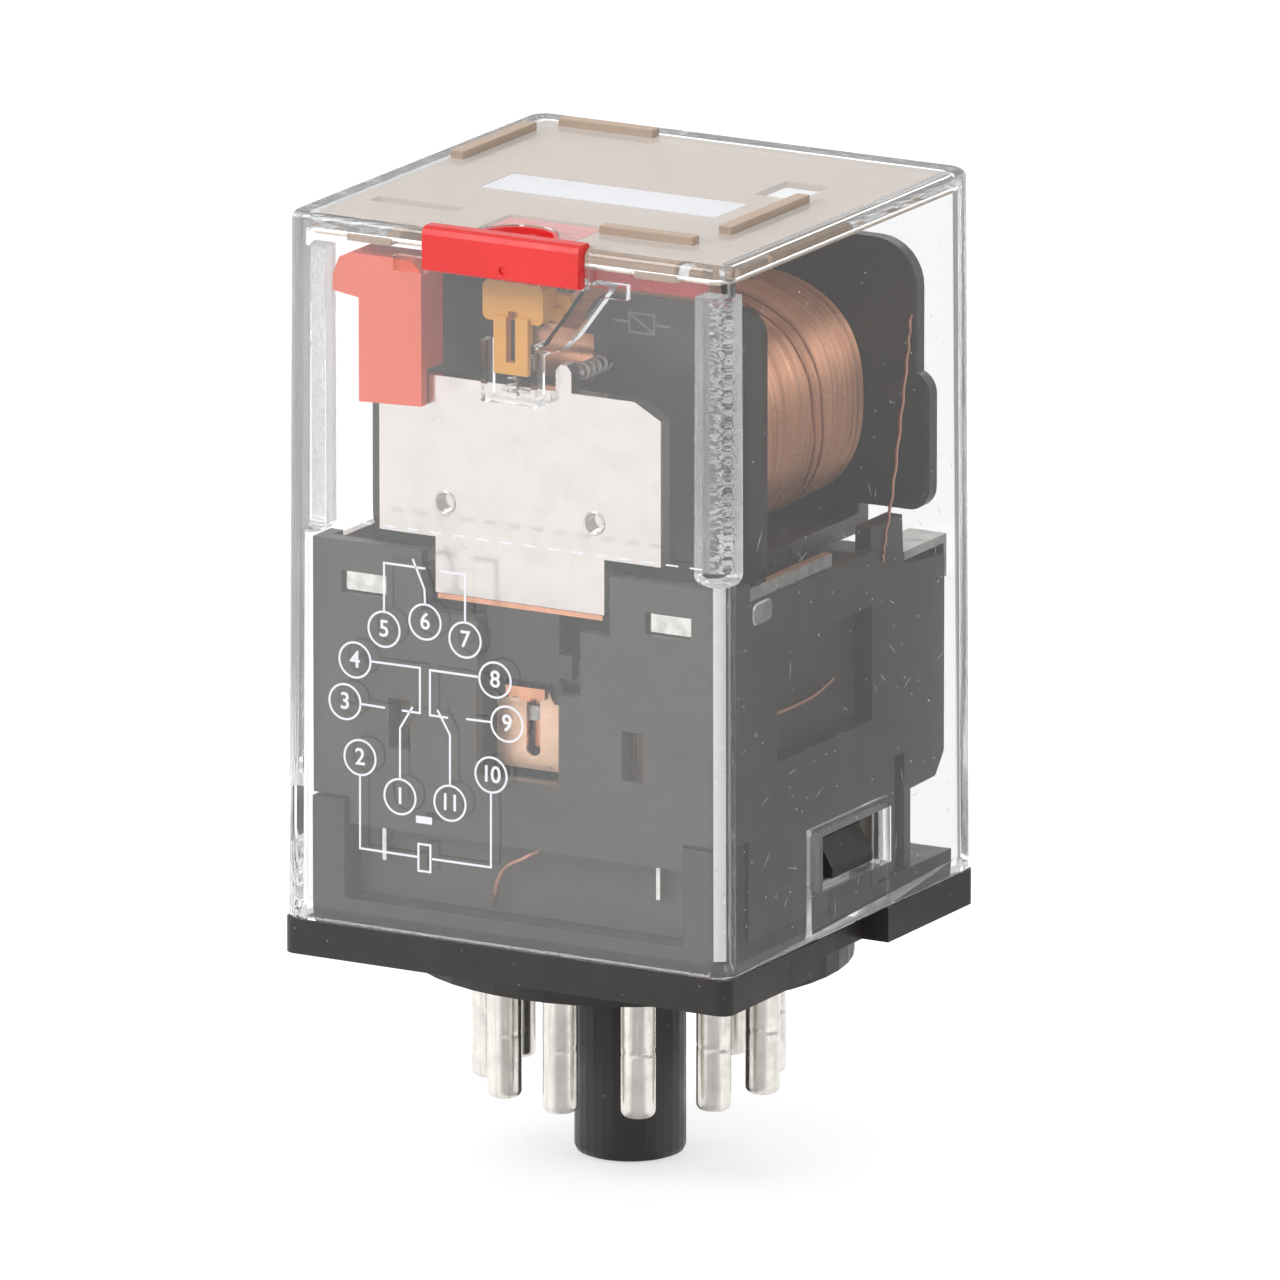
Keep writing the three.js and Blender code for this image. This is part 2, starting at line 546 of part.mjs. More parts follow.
// ---------- cover ----------
const COVER_BOTTOM = FLANGE_TOP + FIT;
const COVER_TOP_INSIDE = TOTAL_HEIGHT - WALL;
const TOP_PLATE = { half: 15.4, bottom: 50.35, top: COVER_TOP_INSIDE - FIT, front: -15.0 };
const RIBS = [                                   // ribs of the top plate that fill slots in the cover
  { x: [-15.3, -14.4], y: [2.6, 12.6] }, { x: [-13.7, -6.4], y: [14.4, 15.3] },
  { x: [11.0, 11.9], y: [-7.5, 3.2] }, { x: [4.1, 11.2], y: [-11.4, -10.5] }];
const LEVER = { half: 5.95, bottom: 49.8, top: 52.8, front: -17.5, back: -15.95,
  tailHalf: 3.5, tailBack: -9.9 };
const FINGER_RECESS = { radius: 3.0, y: -15.5 };  // half-moon opening behind the lever
const WINDOW = { y: [-4.1, 5.3], z: [7.05, 10.9] };
const GUIDE = { back: -14.75, half: 2.15, wall: 0.5, bottom: 41.1, top: 45.3 };
const CHUTE = { back: -14.1, rise: 4.9, run: 4.5, leftReach: 0.72 };
const COVER_POST = { inner: 14.1, bottom: 30.6, top: 50.1 };          // in the cover's two front corners

// every side leans in evenly from the bottom of the cover to its top
function draft(geometry) {
  const position = geometry.attributes.position;
  for (let index = 0; index < position.count; index += 1) {
    const rise = (position.getZ(index) - COVER_BOTTOM) / (TOTAL_HEIGHT - COVER_BOTTOM);
    const scale = 1 - (COVER_DRAFT / HALF) * rise;
    position.setXY(index, position.getX(index) * scale, position.getY(index) * scale);
  }
  return geometry;
}

function makeCoverShell() {
  const edge = 0.6;
  const outside = new THREE.ExtrudeGeometry(roundedRect(HALF, HALF, 1.3), {
    depth: TOTAL_HEIGHT - COVER_BOTTOM, curveSegments: 4, bevelEnabled: true, bevelThickness: edge,
    bevelSize: edge, bevelOffset: -edge, bevelSegments: 2 });
  outside.translate(0, 0, COVER_BOTTOM - edge);
  const inside = extrude(roundedRect(HALF - WALL, HALF - WALL, 0.5),
    COVER_TOP_INSIDE - COVER_BOTTOM + 2, 2);
  inside.translate(0, 0, COVER_BOTTOM - 2);
  const belowCover = block([-HALF - 1, HALF + 1], [-HALF - 1, HALF + 1], [0, COVER_BOTTOM]);
  return cut(toSolid(draft(outside)), toSolid(draft(inside)), belowCover);
}

// clear chute under the lever, and the channel that guides the test button
function makeButtonGuide() {
  const frontWall = -CAVITY - 0.2;
  const arms = bothSides((side) => {
    const reach = side > 0 ? 1.0 : CHUTE.leftReach;
    const run = CHUTE.run * reach;
    const rise = CHUTE.rise * reach;
    const arm = [[2.4, 45.3], [2.9, 45.0], [2.9 + run, 45.0 + rise], [2.5 + run, 45.3 + rise]];
    return panel(mirroredOutline(arm, side), [frontWall, CHUTE.back]);
  });
  const sides = bothSides((side) => block(span(side, GUIDE.half - GUIDE.wall, GUIDE.half),
    [frontWall, GUIDE.back], [GUIDE.bottom, GUIDE.top]));
  const ledges = bothSides((side) => block(span(side, GUIDE.half - GUIDE.wall, 2.9),
    [frontWall, GUIDE.back], [GUIDE.top - 0.4, GUIDE.top]));
  const floor = block([-GUIDE.half, GUIDE.half], [frontWall, GUIDE.back],
    [GUIDE.bottom, GUIDE.bottom + 0.4]);
  return join(...arms, ...sides, ...ledges, floor);
}

function makeCover() {
  const cornerPosts = bothSides((side) => block(span(side, COVER_POST.inner, CAVITY + 0.2),
    [-CAVITY - 0.2, -COVER_POST.inner], [COVER_POST.bottom, COVER_POST.top]));
  const shell = join(makeCoverShell(), ...cornerPosts, makeButtonGuide());
  const leverNotch = block([-LEVER.half - CLEARANCE, LEVER.half + CLEARANCE],
    [-HALF - 1, LEVER.back + 0.25], [LEVER.bottom - CLEARANCE, TOTAL_HEIGHT + 1]);
  const fingerRecess = roundBar(FINGER_RECESS.radius, [COVER_TOP_INSIDE - 1, TOTAL_HEIGHT + 1],
    24, 0, FINGER_RECESS.y);
  const windows = bothSides((side) => block(span(side, HALF - WALL - 1, HALF + 1), WINDOW.y, WINDOW.z));
  const slots = RIBS.map(({ x, y }) => block([x[0] - 0.1, x[1] + 0.1], [y[0] - 0.1, y[1] + 0.1],
    [COVER_TOP_INSIDE - 1, TOTAL_HEIGHT + 1]));
  return cut(shell, leverNotch, fingerRecess, ...windows, ...slots);
}

addPart('cover', makeCover(), clearPlastic);

// ---------- top plate with its name label ----------
const LABEL = { x: [-9.6, 8.6], y: [-3.6, 1.0], gap: 0.1 };
const FRONT_TABS = [[-12.4, -9.0], [9.5, 12.7]];          // they meet the inside of the cover's front
const PLATE_SLOT = { x: [-14.0, -7.3], y: [-10.2, -9.3] };
const PLATE_HOLE = { x: [7.5, 10.9], y: [3.5, 7.9] };

function makeTopPlate() {
  const { half, bottom, top, front } = TOP_PLATE;
  const thickness = [bottom, top];
  const body = join(
    block([-half, half], [front, half], thickness),
    ...FRONT_TABS.map((x) => block(x, [front - 0.55, front + 1], thickness)),
    ...RIBS.map(({ x, y }) => block(x, y, [top - 0.3, TOTAL_HEIGHT - FIT])));
  return cut(
    body,
    block([-LEVER.tailHalf - 0.3, LEVER.tailHalf + 0.3], [front - 1, LEVER.tailBack + 0.5],
      [bottom - 1, top + 0.5]),
    block(PLATE_SLOT.x, PLATE_SLOT.y, [bottom - 1, top + 1]),
    block(PLATE_HOLE.x, PLATE_HOLE.y, [bottom - 1, top + 1]),
    block(LABEL.x, LABEL.y, [top - 0.25, top + 1]));
}

addPart('top_plate', makeTopPlate(), beigePlastic);
const cardThickness = [TOP_PLATE.top - 0.2, TOP_PLATE.top - 0.05];
addPart('name_label', block([LABEL.x[0] + LABEL.gap, LABEL.x[1] - LABEL.gap],
  [LABEL.y[0] + LABEL.gap, LABEL.y[1] - LABEL.gap], cardThickness), whiteCard);

// ---------- latching test lever, and the test button below it ----------
const RAIL = { x: [2.95, 11.8], y: [-10.9, -9.5], z: [48.7, 50.2] };      // hangs below the lever's tail
const BUTTON = { half: 2.3, front: -15.3, back: -13.4, bottom: 46.6, top: 49.3, bevel: 0.3 };
const SHANK = { half: 1.3, y: [-15.6, -14.9], bottom: 43.1 };
const BUTTON_SPRING = { y: -15.25, z: [41.65, 43.0], radius: 0.35, wire: 0.08, turns: 3 };

function makeLever() {
  const { half, bottom, top, front, back, tailHalf, tailBack } = LEVER;
  const knob = profile(outline([
    [front, bottom + 0.2], [front + 0.2, bottom], [back, bottom], [back, top - 0.2], [back - 0.2, top],
    [front + 0.5, top], [front + 0.15, top - 0.15], [front, top - 0.5]]), [-half, half]);
  const tailBottom = TOP_PLATE.bottom + FIT;
  const tail = block([-tailHalf, tailHalf], [back - 0.3, tailBack], [tailBottom, TOP_PLATE.top - 0.1]);
  const leg = block([RAIL.x[0], tailHalf], [RAIL.y[0], tailBack], [RAIL.z[0], tailBottom + 0.4]);
  const rail = block(RAIL.x, RAIL.y, RAIL.z);
  const dimple = crossBar(0.3, [front - 1, front + 0.15], 0.2, 50.5, 8);
  return cut(join(knob, tail, leg, rail), dimple);
}

function makeButton() {
  const { half, front, back, bottom, top, bevel } = BUTTON;
  const head = panel(outline([
    [-half, bottom + bevel], [bevel - half, bottom], [half - bevel, bottom], [half, bottom + bevel],
    [half, top - bevel], [half - bevel, top], [bevel - half, top], [-half, top - bevel]]), [front, back]);
  const shank = block([-SHANK.half, SHANK.half], SHANK.y, [SHANK.bottom, bottom + 0.4]);
  const wing = block([half - 0.3, half + 0.6], [back - 0.5, back], [bottom + 0.05, bottom + 1.0]);
  const slot = block([-0.35, 0.35], [-16, -14.6], [43.9, 47.35]);
  return cut(join(head, shank, wing), slot);
}

function makeButtonSpring() {
  const { y, z, radius, turns } = BUTTON_SPRING;
  const coil = new Helix(new THREE.Vector3(0, y, z[0]), new THREE.Vector3(0, y, z[1]), radius, turns);
  return tube(coil, BUTTON_SPRING.wire, turns * 10, 3);
}

addPart('test_lever', makeLever(), redPlastic);
addPart('test_button', makeButton(), yellowPlastic);
addPart('button_spring', makeButtonSpring(), steel);

export default relay;
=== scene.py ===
import math

import bmesh
import bpy
import numpy as np
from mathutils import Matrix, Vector, noise


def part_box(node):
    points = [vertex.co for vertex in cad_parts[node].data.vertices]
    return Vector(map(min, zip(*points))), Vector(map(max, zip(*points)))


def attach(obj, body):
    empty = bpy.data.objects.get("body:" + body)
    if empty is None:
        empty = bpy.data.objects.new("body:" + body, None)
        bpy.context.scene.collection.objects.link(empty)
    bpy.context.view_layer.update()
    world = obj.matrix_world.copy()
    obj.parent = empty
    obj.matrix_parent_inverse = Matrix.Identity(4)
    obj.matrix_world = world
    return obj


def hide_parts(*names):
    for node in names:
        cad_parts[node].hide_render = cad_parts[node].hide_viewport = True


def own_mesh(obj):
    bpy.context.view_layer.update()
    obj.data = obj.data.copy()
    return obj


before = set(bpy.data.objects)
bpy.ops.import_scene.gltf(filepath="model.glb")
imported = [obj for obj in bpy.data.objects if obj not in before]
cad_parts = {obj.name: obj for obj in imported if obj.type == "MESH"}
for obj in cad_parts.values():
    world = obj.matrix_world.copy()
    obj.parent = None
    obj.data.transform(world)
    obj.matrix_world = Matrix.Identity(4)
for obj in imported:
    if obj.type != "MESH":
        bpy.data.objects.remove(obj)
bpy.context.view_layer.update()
MM = 0.001

# ---------------------------------------------------------------- mesh helpers


def mesh_object(name, vertices, faces, smooth=True):
    """A mesh object from points in millimetres."""
    mesh = bpy.data.meshes.new(name)
    mesh.from_pydata([tuple(c * MM for c in v) for v in vertices], [], faces)
    mesh.validate()
    repair = bmesh.new()
    repair.from_mesh(mesh)
    bmesh.ops.recalc_face_normals(repair, faces=repair.faces)
    repair.to_mesh(mesh)
    repair.free()
    for polygon in mesh.polygons:
        polygon.use_smooth = smooth
    piece = bpy.data.objects.new(name, mesh)
    bpy.context.scene.collection.objects.link(piece)
    return piece


def box_mesh(name, x, y, z):
    corners = [(a, b, c) for a in x for b in y for c in z]
    faces = [(0, 1, 3, 2), (4, 6, 7, 5), (0, 4, 5, 1), (2, 3, 7, 6), (0, 2, 6, 4), (1, 5, 7, 3)]
    return mesh_object(name, corners, faces, smooth=False)


def bridge(first, second, count):
    """Quads between two rings of vertices, given the number of each ring's first vertex."""
    return [(first + i, first + (i + 1) % count, second + (i + 1) % count, second + i) for i in range(count)]


def loft(name, rings, cap_start=True, cap_end=True, closed=False):
    """A skin through rings that all have the same number of points."""
    count = len(rings[0])
    vertices = [tuple(point) for ring in rings for point in ring]
    faces = []
    for index in range(len(rings) - 1):
        faces += bridge(index * count, (index + 1) * count, count)
    if closed:
        faces += bridge((len(rings) - 1) * count, 0, count)
    else:
        if cap_start:
            faces.append(tuple(range(count)))
        if cap_end:
            faces.append(tuple((len(rings) - 1) * count + i for i in range(count)))
    return mesh_object(name, vertices, faces)


def lathe(name, profile, sides, middle=(0, 0)):
    """A body of revolution about a line along Z.

    The profile gives radius and height, and starts and ends at radius 0.
    """
    vertices = [(middle[0], middle[1], profile[0][1])]
    for radius, height in profile[1:-1]:
        for side in range(sides):
            turn = 2 * math.pi * side / sides
            x = middle[0] + radius * math.cos(turn)
            y = middle[1] + radius * math.sin(turn)
            vertices.append((x, y, height))
    vertices.append((middle[0], middle[1], profile[-1][1]))
    last = len(vertices) - 1
    faces = []
    for side in range(sides):
        faces.append((0, 1 + side, 1 + (side + 1) % sides))
    rings = len(profile) - 2
    for ring in range(rings - 1):
        faces += bridge(1 + ring * sides, 1 + (ring + 1) * sides, sides)
    for side in range(sides):
        faces.append((last, last - sides + (side + 1) % sides, last - sides + side))
    return mesh_object(name, vertices, faces)


def rounded_rectangle(half_a, half_b, radius, steps, middle=(0, 0)):
    """Points anticlockwise round a rectangle with round corners."""
    points = []
    for sign_a, sign_b, quarter in ((1, -1, 3), (1, 1, 0), (-1, 1, 1), (-1, -1, 2)):
        for step in range(steps + 1):
            turn = (quarter + step / steps) * math.pi / 2
            points.append((middle[0] + sign_a * (half_a - radius) + radius * math.cos(turn),
                           middle[1] + sign_b * (half_b - radius) + radius * math.sin(turn)))
    return points


def prism(name, outline, axis, low, high):
    """An outline pushed along an axis. It is drawn in the other two axes, in X, Y, Z order."""
    place = {
        "x": lambda a, b, c: (c, a, b),
        "y": lambda a, b, c: (a, c, b),
        "z": lambda a, b, c: (a, b, c),
    }[axis]
    rings = [[place(a, b, depth) for a, b in outline] for depth in (low, high)]
    return loft(name, rings)


def tube(name, points, radius, sides=10):
    """A round wire along a line of points."""
    line = [Vector(point) for point in points]
    rings = []
    normal = None
    for index, point in enumerate(line):
        ahead = line[min(index + 1, len(line) - 1)] - line[max(index - 1, 0)]
        ahead.normalize()
        if normal is None:
            normal = ahead.orthogonal().normalized()
        normal = (normal - ahead * normal.dot(ahead)).normalized()
        across = ahead.cross(normal)
        rings.append([point + radius * (math.cos(t) * normal + math.sin(t) * across)
                      for t in (2 * math.pi * side / sides for side in range(sides))])
    return loft(name, rings)


def smooth_line(points, count):
    """count points along a Catmull-Rom curve through the given points."""
    line = [Vector(p) for p in points]
    line = [2 * line[0] - line[1]] + line + [2 * line[-1] - line[-2]]
    spans = len(line) - 3
    found = []
    for step in range(count):
        place = step / (count - 1) * spans
        span = min(int(place), spans - 1)
        t = place - span
        a, b, c, d = line[span:span + 4]
        found.append(0.5 * (2 * b + (c - a) * t + (2 * a - 5 * b + 4 * c - d) * t * t
                            + (3 * b - a - 3 * c + d) * t * t * t))
    return found


def settle(piece):
    """Turns the piece's modifiers into its mesh."""
    graph = bpy.context.evaluated_depsgraph_get()
    graph.update()
    mesh = bpy.data.meshes.new_from_object(piece.evaluated_get(graph))
    piece.modifiers.clear()
    piece.data = mesh
    return piece


def combine(piece, others, operation):
    """Cuts the others out of the piece, or joins them to it, and removes them."""
    for other in others:
        change = piece.modifiers.new("combine", "BOOLEAN")
        change.operation = operation
        change.solver = "EXACT"
        change.object = other
        settle(piece)
        bpy.data.objects.remove(other)
    return piece


SHARP_ANGLE = 30                # degrees between two faces whose edge stays sharp


def make_smooth_group():
    """Geometry nodes that shade the faces smooth and leave the edges over SHARP_ANGLE sharp."""
    group = bpy.data.node_groups.new("smooth_by_angle", "GeometryNodeTree")
    group.interface.new_socket("Geometry", in_out="INPUT", socket_type="NodeSocketGeometry")
    group.interface.new_socket("Geometry", in_out="OUTPUT", socket_type="NodeSocketGeometry")
    start = group.nodes.new("NodeGroupInput")
    end = group.nodes.new("NodeGroupOutput")
    faces = group.nodes.new("GeometryNodeSetShadeSmooth")
    plain = group.nodes.new("GeometryNodeSetShadeSmooth")
    plain.domain = "EDGE"
    edges = group.nodes.new("GeometryNodeSetShadeSmooth")
    edges.domain = "EDGE"
    edges.inputs["Shade Smooth"].default_value = False
    bend = group.nodes.new("GeometryNodeInputMeshEdgeAngle")
    steep = group.nodes.new("FunctionNodeCompare")
    steep.operation = "GREATER_THAN"
    steep.inputs["B"].default_value = math.radians(SHARP_ANGLE)
    group.links.new(start.outputs[0], faces.inputs["Geometry"])
    group.links.new(faces.outputs["Geometry"], plain.inputs["Geometry"])
    group.links.new(plain.outputs["Geometry"], edges.inputs["Geometry"])
    group.links.new(bend.outputs["Unsigned Angle"], steep.inputs["A"])
    group.links.new(steep.outputs["Result"], edges.inputs["Selection"])
    group.links.new(edges.outputs["Geometry"], end.inputs[0])
    return group


SMOOTH = make_smooth_group()


def shade_by_angle(piece):
    piece.modifiers.new("smooth", "NODES").node_group = SMOOTH
    shade = piece.modifiers.new("shade", "WEIGHTED_NORMAL")
    shade.keep_sharp = True
    shade.weight = 50
    return piece


def soften(piece, width, segments=2, angle=SHARP_ANGLE):
    """Rounds the piece's edges and keeps its flat faces flat. The width is in millimetres."""
    merge = piece.modifiers.new("merge", "DECIMATE")
    merge.decimate_type = "DISSOLVE"
    merge.angle_limit = math.radians(1.0)
    bevel = piece.modifiers.new("bevel", "BEVEL")
    bevel.width = width * MM
    bevel.segments = segments
    bevel.limit_method = "ANGLE"
    bevel.angle_limit = math.radians(angle)
    bevel.use_clamp_overlap = True
    bevel.miter_outer = "MITER_ARC"
    return shade_by_angle(piece)


# ---------------------------------------------------------------- materials


class Surface:
    """A procedural material built round one Principled shader."""

    def __init__(self, name, color, roughness, metallic=0.0):
        self.material = bpy.data.materials.new(name)
        self.material.use_nodes = True
        self.tree = self.material.node_tree
        self.nodes = self.tree.nodes
        self.shader = self.nodes["Principled BSDF"]
        self.output = self.nodes["Material Output"]
        self.place = self.nodes.new("ShaderNodeTexCoord").outputs["Object"]
        self.color = color
        self.shader.inputs["Base Color"].default_value = (*color, 1)
        self.shader.inputs["Roughness"].default_value = roughness
        self.shader.inputs["Metallic"].default_value = metallic
        self.normal = None

    def link(self, source, target):
        self.tree.links.new(source, target)

    def stretched(self, scale):
        """Object coordinates in millimetres, each axis multiplied by its scale."""
        mapping = self.nodes.new("ShaderNodeMapping")
        mapping.inputs["Scale"].default_value = [s / MM for s in scale]
        self.link(self.place, mapping.inputs["Vector"])
        return mapping.outputs["Vector"]

    def noise(self, scale, detail=3.0, roughness=0.5, distortion=0.0):
        """Noise whose features are about 1 / scale millimetres across, along each axis."""
        texture = self.nodes.new("ShaderNodeTexNoise")
        texture.inputs["Scale"].default_value = 1.0
        texture.inputs["Detail"].default_value = detail
        texture.inputs["Roughness"].default_value = roughness
        texture.inputs["Distortion"].default_value = distortion
        scale = (scale,) * 3 if isinstance(scale, (int, float)) else scale
        self.link(self.stretched(scale), texture.inputs["Vector"])
        return texture.outputs["Fac"]

    def cells(self, scale):
        """Distance to the nearest of many scattered points."""
        texture = self.nodes.new("ShaderNodeTexVoronoi")
        texture.inputs["Scale"].default_value = 1.0
        scale = (scale,) * 3 if isinstance(scale, (int, float)) else scale
        self.link(self.stretched(scale), texture.inputs["Vector"])
        return texture.outputs["Distance"]

    def level(self, value, low, high, new_low, new_high):
        """Maps low..high to new_low..new_high, and no further."""
        ramp = self.nodes.new("ShaderNodeMapRange")
        limits = {"From Min": low, "From Max": high, "To Min": new_low, "To Max": new_high}
        for name, number in limits.items():
            ramp.inputs[name].default_value = number
        self.link(value, ramp.inputs["Value"])
        return ramp.outputs["Result"]

    def tint(self, share, other):
        """Mixes another colour into the base colour by share."""
        mix = self.nodes.new("ShaderNodeMix")
        mix.data_type = "RGBA"
        self.link(share, mix.inputs["Factor"])
        before = self.shader.inputs["Base Color"]
        if before.is_linked:
            self.link(before.links[0].from_socket, mix.inputs[6])
        else:
            mix.inputs[6].default_value = (*self.color, 1)
        mix.inputs[7].default_value = (*other, 1)
        self.link(mix.outputs[2], before)
        return self

    def rough(self, value, low, high):
        """Roughness from low to high as value goes from 0.3 to 0.7."""
        self.link(self.level(value, 0.3, 0.7, low, high), self.shader.inputs["Roughness"])
        return self

    def bump(self, value, height):
        """Raises the surface by height millimetres where value is 1."""
        bump = self.nodes.new("ShaderNodeBump")
        bump.inputs["Distance"].default_value = height * MM
        self.link(value, bump.inputs["Height"])
        if self.normal is not None:
            self.link(self.normal, bump.inputs["Normal"])
        self.normal = bump.outputs["Normal"]
        self.link(self.normal, self.shader.inputs["Normal"])
        return self


def moulded(name, color, roughness, grain=0.0015, specks=0.0, shade=0.8):
    """Moulded plastic: slow shade changes, uneven gloss, a very fine grain and a few specks of dust."""
    surface = Surface(name, color, roughness)
    surface.tint(surface.level(surface.noise(0.12), 0.35, 0.7, 0.0, 1.0), [c * shade for c in color])
    surface.rough(surface.noise(0.5), roughness - 0.06, roughness + 0.08)
    if specks:
        dust = surface.level(surface.cells(0.8), 0.07, 0.03, 0.0, specks)
        surface.tint(dust, (0.55, 0.53, 0.50))
    surface.bump(surface.noise(3.0, 2.0), grain)
    return surface


def plated(name, color, roughness, mottle=0.5, height=0.006, dark=0.7, streak=(1, 1, 1)):
    """Plated or bare metal: mottled gloss, faint drawing lines and a slightly wavy face."""
    surface = Surface(name, color, roughness, metallic=1.0)
    patches = surface.level(surface.noise(mottle, 4.0), 0.42, 0.72, 0.0, 0.6)
    surface.tint(patches, [c * dark for c in color])
    surface.rough(surface.noise(mottle * 2, 4.0), roughness * 0.75, roughness * 1.4)
    surface.bump(surface.noise([4 * s for s in streak], 2.0), height * 0.3)
    surface.bump(surface.noise(mottle * 0.6, 2.0), height)
    return surface


def clear_plastic(name, roughness=0.01, dents=0.0, passing=0.985, color=(0.99, 0.995, 1.0)):
    """Clear polycarbonate. Light from the lamps goes straight on through it, as through a thin wall."""
    surface = Surface(name, color, roughness)
    surface.shader.inputs["Transmission Weight"].default_value = passing
    surface.shader.inputs["IOR"].default_value = 1.58
    surface.bump(surface.noise(0.09, 1.0), 0.015)
    surface.bump(surface.noise((0.25, 0.25, 1.2), 2.0), 0.0015)
    if dents:
        surface.bump(surface.noise((11.0, 11.0, 4.0), 1.5, 0.6, 0.3), dents)
    surface.rough(surface.noise(0.2), roughness * 0.5, roughness * 2.5)
    path = surface.nodes.new("ShaderNodeLightPath")
    open_shader = surface.nodes.new("ShaderNodeBsdfTransparent")
    open_shader.inputs["Color"].default_value = (0.94, 0.94, 0.94, 1)
    choose = surface.nodes.new("ShaderNodeMixShader")
    surface.link(path.outputs["Is Shadow Ray"], choose.inputs["Fac"])
    surface.link(surface.shader.outputs["BSDF"], choose.inputs[1])
    surface.link(open_shader.outputs["BSDF"], choose.inputs[2])
    surface.link(choose.outputs["Shader"], surface.output.inputs["Surface"])
    return surface


black = moulded("black_moulding", (0.020, 0.017, 0.0145), 0.4, specks=0.3)
inner_black = moulded("inner_black_moulding", (0.022, 0.020, 0.018), 0.36, specks=0.15)
grey = moulded("grey_moulding", (0.066, 0.056, 0.046), 0.46, specks=0.15)
beige = moulded("beige_moulding", (0.49, 0.375, 0.29), 0.5, shade=0.93)
red = moulded("red_moulding", (0.74, 0.018, 0.017), 0.26, shade=0.9)
amber = moulded("amber_moulding", (0.72, 0.33, 0.035), 0.33, shade=0.9)
orange = moulded("orange_moulding", (0.82, 0.135, 0.075), 0.42, shade=0.92)
card = moulded("label_card", (0.80, 0.80, 0.86), 0.6, shade=0.97)
ink = moulded("print_ink", (0.78, 0.78, 0.84), 0.55, shade=0.96)
faded_ink = moulded("faded_print", (0.30, 0.30, 0.29), 0.6, shade=0.9)
dust = moulded("dust_fleck", (0.80, 0.78, 0.73), 0.7, shade=0.8)
nickel = plated("nickel_plate", (0.72, 0.665, 0.63), 0.2, mottle=0.35, height=0.012, dark=0.88)
tin = plated("tinned_pin", (0.82, 0.79, 0.74), 0.2, mottle=0.7, height=0.004, dark=0.72, streak=(2, 2, 0.1))
tin.tint(tin.level(tin.noise((2.6, 2.6, 0.12), 3.0, 0.6), 0.5, 0.72, 0.0, 0.6), (0.45, 0.43, 0.40))
steel = plated("bare_steel", (0.48, 0.47, 0.45), 0.35, mottle=0.6, dark=0.7)
copper = plated("bright_copper", (0.80, 0.37, 0.22), 0.25, mottle=0.6, dark=0.7)
spring_copper = plated("spring_copper", (1.0, 0.66, 0.46), 0.33, mottle=0.5, dark=0.85)
spring_copper.shader.inputs["Metallic"].default_value = 0.7
dark_plate = plated("dark_plate", (0.30, 0.27, 0.25), 0.3, mottle=0.4, dark=0.7)
silver = plated("silver_plate", (0.76, 0.74, 0.70), 0.2, mottle=0.9, height=0.03, dark=0.5)
# Painted shade: silver made dark so that the moving contacts read dark behind the slots of the contact
# leaves.
shade_darkened_silver = plated("shade_darkened_silver", (0.42, 0.40, 0.37), 0.35, mottle=0.8, dark=0.5)
enamel = plated("enamelled_wire", (0.85, 0.42, 0.255), 0.32, mottle=0.25, dark=0.78, streak=(0.3, 3.0, 0.3))
enamel.shader.inputs["Metallic"].default_value = 0.55
dark_turns = enamel.noise((0.05, 2.2, 0.05), 3.0, 0.6)
enamel.tint(enamel.level(dark_turns, 0.45, 0.75, 0.0, 0.75), (0.42, 0.19, 0.11))
bright_turns = enamel.noise((0.07, 3.1, 0.07), 3.0, 0.6)
enamel.tint(enamel.level(bright_turns, 0.52, 0.78, 0.0, 0.8), (1.0, 0.66, 0.46))
dark_enamel = plated("dark_enamelled_wire", (0.60, 0.29, 0.19), 0.4, mottle=0.8, dark=0.7)
dull_copper = plated("dull_copper", (0.52, 0.27, 0.19), 0.32, mottle=0.7, dark=0.6)
dark_enamel.shader.inputs["Metallic"].default_value = 0.5
clear = clear_plastic("clear_cover")
hammered = clear_plastic("hammered_cover", 0.08, dents=0.16, passing=0.72, color=(0.80, 0.80, 0.81))
# Painted highlight: nearly opaque white for the inner front corners of the clear cover, standing in for the
# bright bar of light down each corner.
corner_highlight_white = clear_plastic("corner_painted_highlight", 0.2, passing=0.12, color=(0.97, 0.97, 0.98))

CAD_FINISH = {
    "base": (black, 0.18), "contact_block_front": (grey, 0.15), "contact_block_rear": (grey, 0.15),
    "bobbin": (inner_black, 0.2), "coil_winding": (enamel, 0), "core": (steel, 0.15),
    "shading_ring": (copper, 0.1), "yoke": (dark_plate, 0.2), "armature": (nickel, 0.16),
    "hinge_spring": (copper, 0.04), "contact_carrier": (inner_black, 0.1), "indicator_flag": (orange, 0.18),
    "armature_spring": (steel, 0), "cover": (clear, 0), "top_plate": (beige, 0.12), "name_label": (card, 0),
    "test_lever": (red, 0.28), "test_button": (amber, 0.2), "button_spring": (steel, 0),
    "common_lead_centre": (dull_copper, 0),
}
for name in ("left", "centre", "right"):
    CAD_FINISH[f"contact_spring_{name}"] = (spring_copper, 0.05)
    # The moving contacts take the darkened silver, painted shade behind the leaves' slots.
    CAD_FINISH[f"moving_contact_{name}"] = (shade_darkened_silver, 0.08)
    CAD_FINISH[f"closed_contact_{name}"] = (copper, 0.06)
    CAD_FINISH[f"open_contact_{name}"] = (copper, 0.06)
for name in ("left", "right"):
    CAD_FINISH[f"coil_lead_{name}"] = (copper, 0)
    CAD_FINISH[f"common_lead_{name}"] = (dull_copper, 0)
    CAD_FINISH[f"front_terminal_{name}"] = (silver, 0.12)
    CAD_FINISH[f"side_strip_{name}"] = (silver, 0.08)
    CAD_FINISH[f"rear_terminal_{name}"] = (silver, 0.1)
    CAD_FINISH[f"coil_terminal_{name}"] = (silver, 0.05)
for index in range(1, 12):
    CAD_FINISH[f"pin_{index:02d}"] = (tin, 0)

for node, (surface, width) in CAD_FINISH.items():
    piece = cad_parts[node]
    piece.data.materials.clear()
    piece.data.materials.append(surface.material)
    if width:
        soften(piece, width, segments=4 if node == "test_lever" else 2)


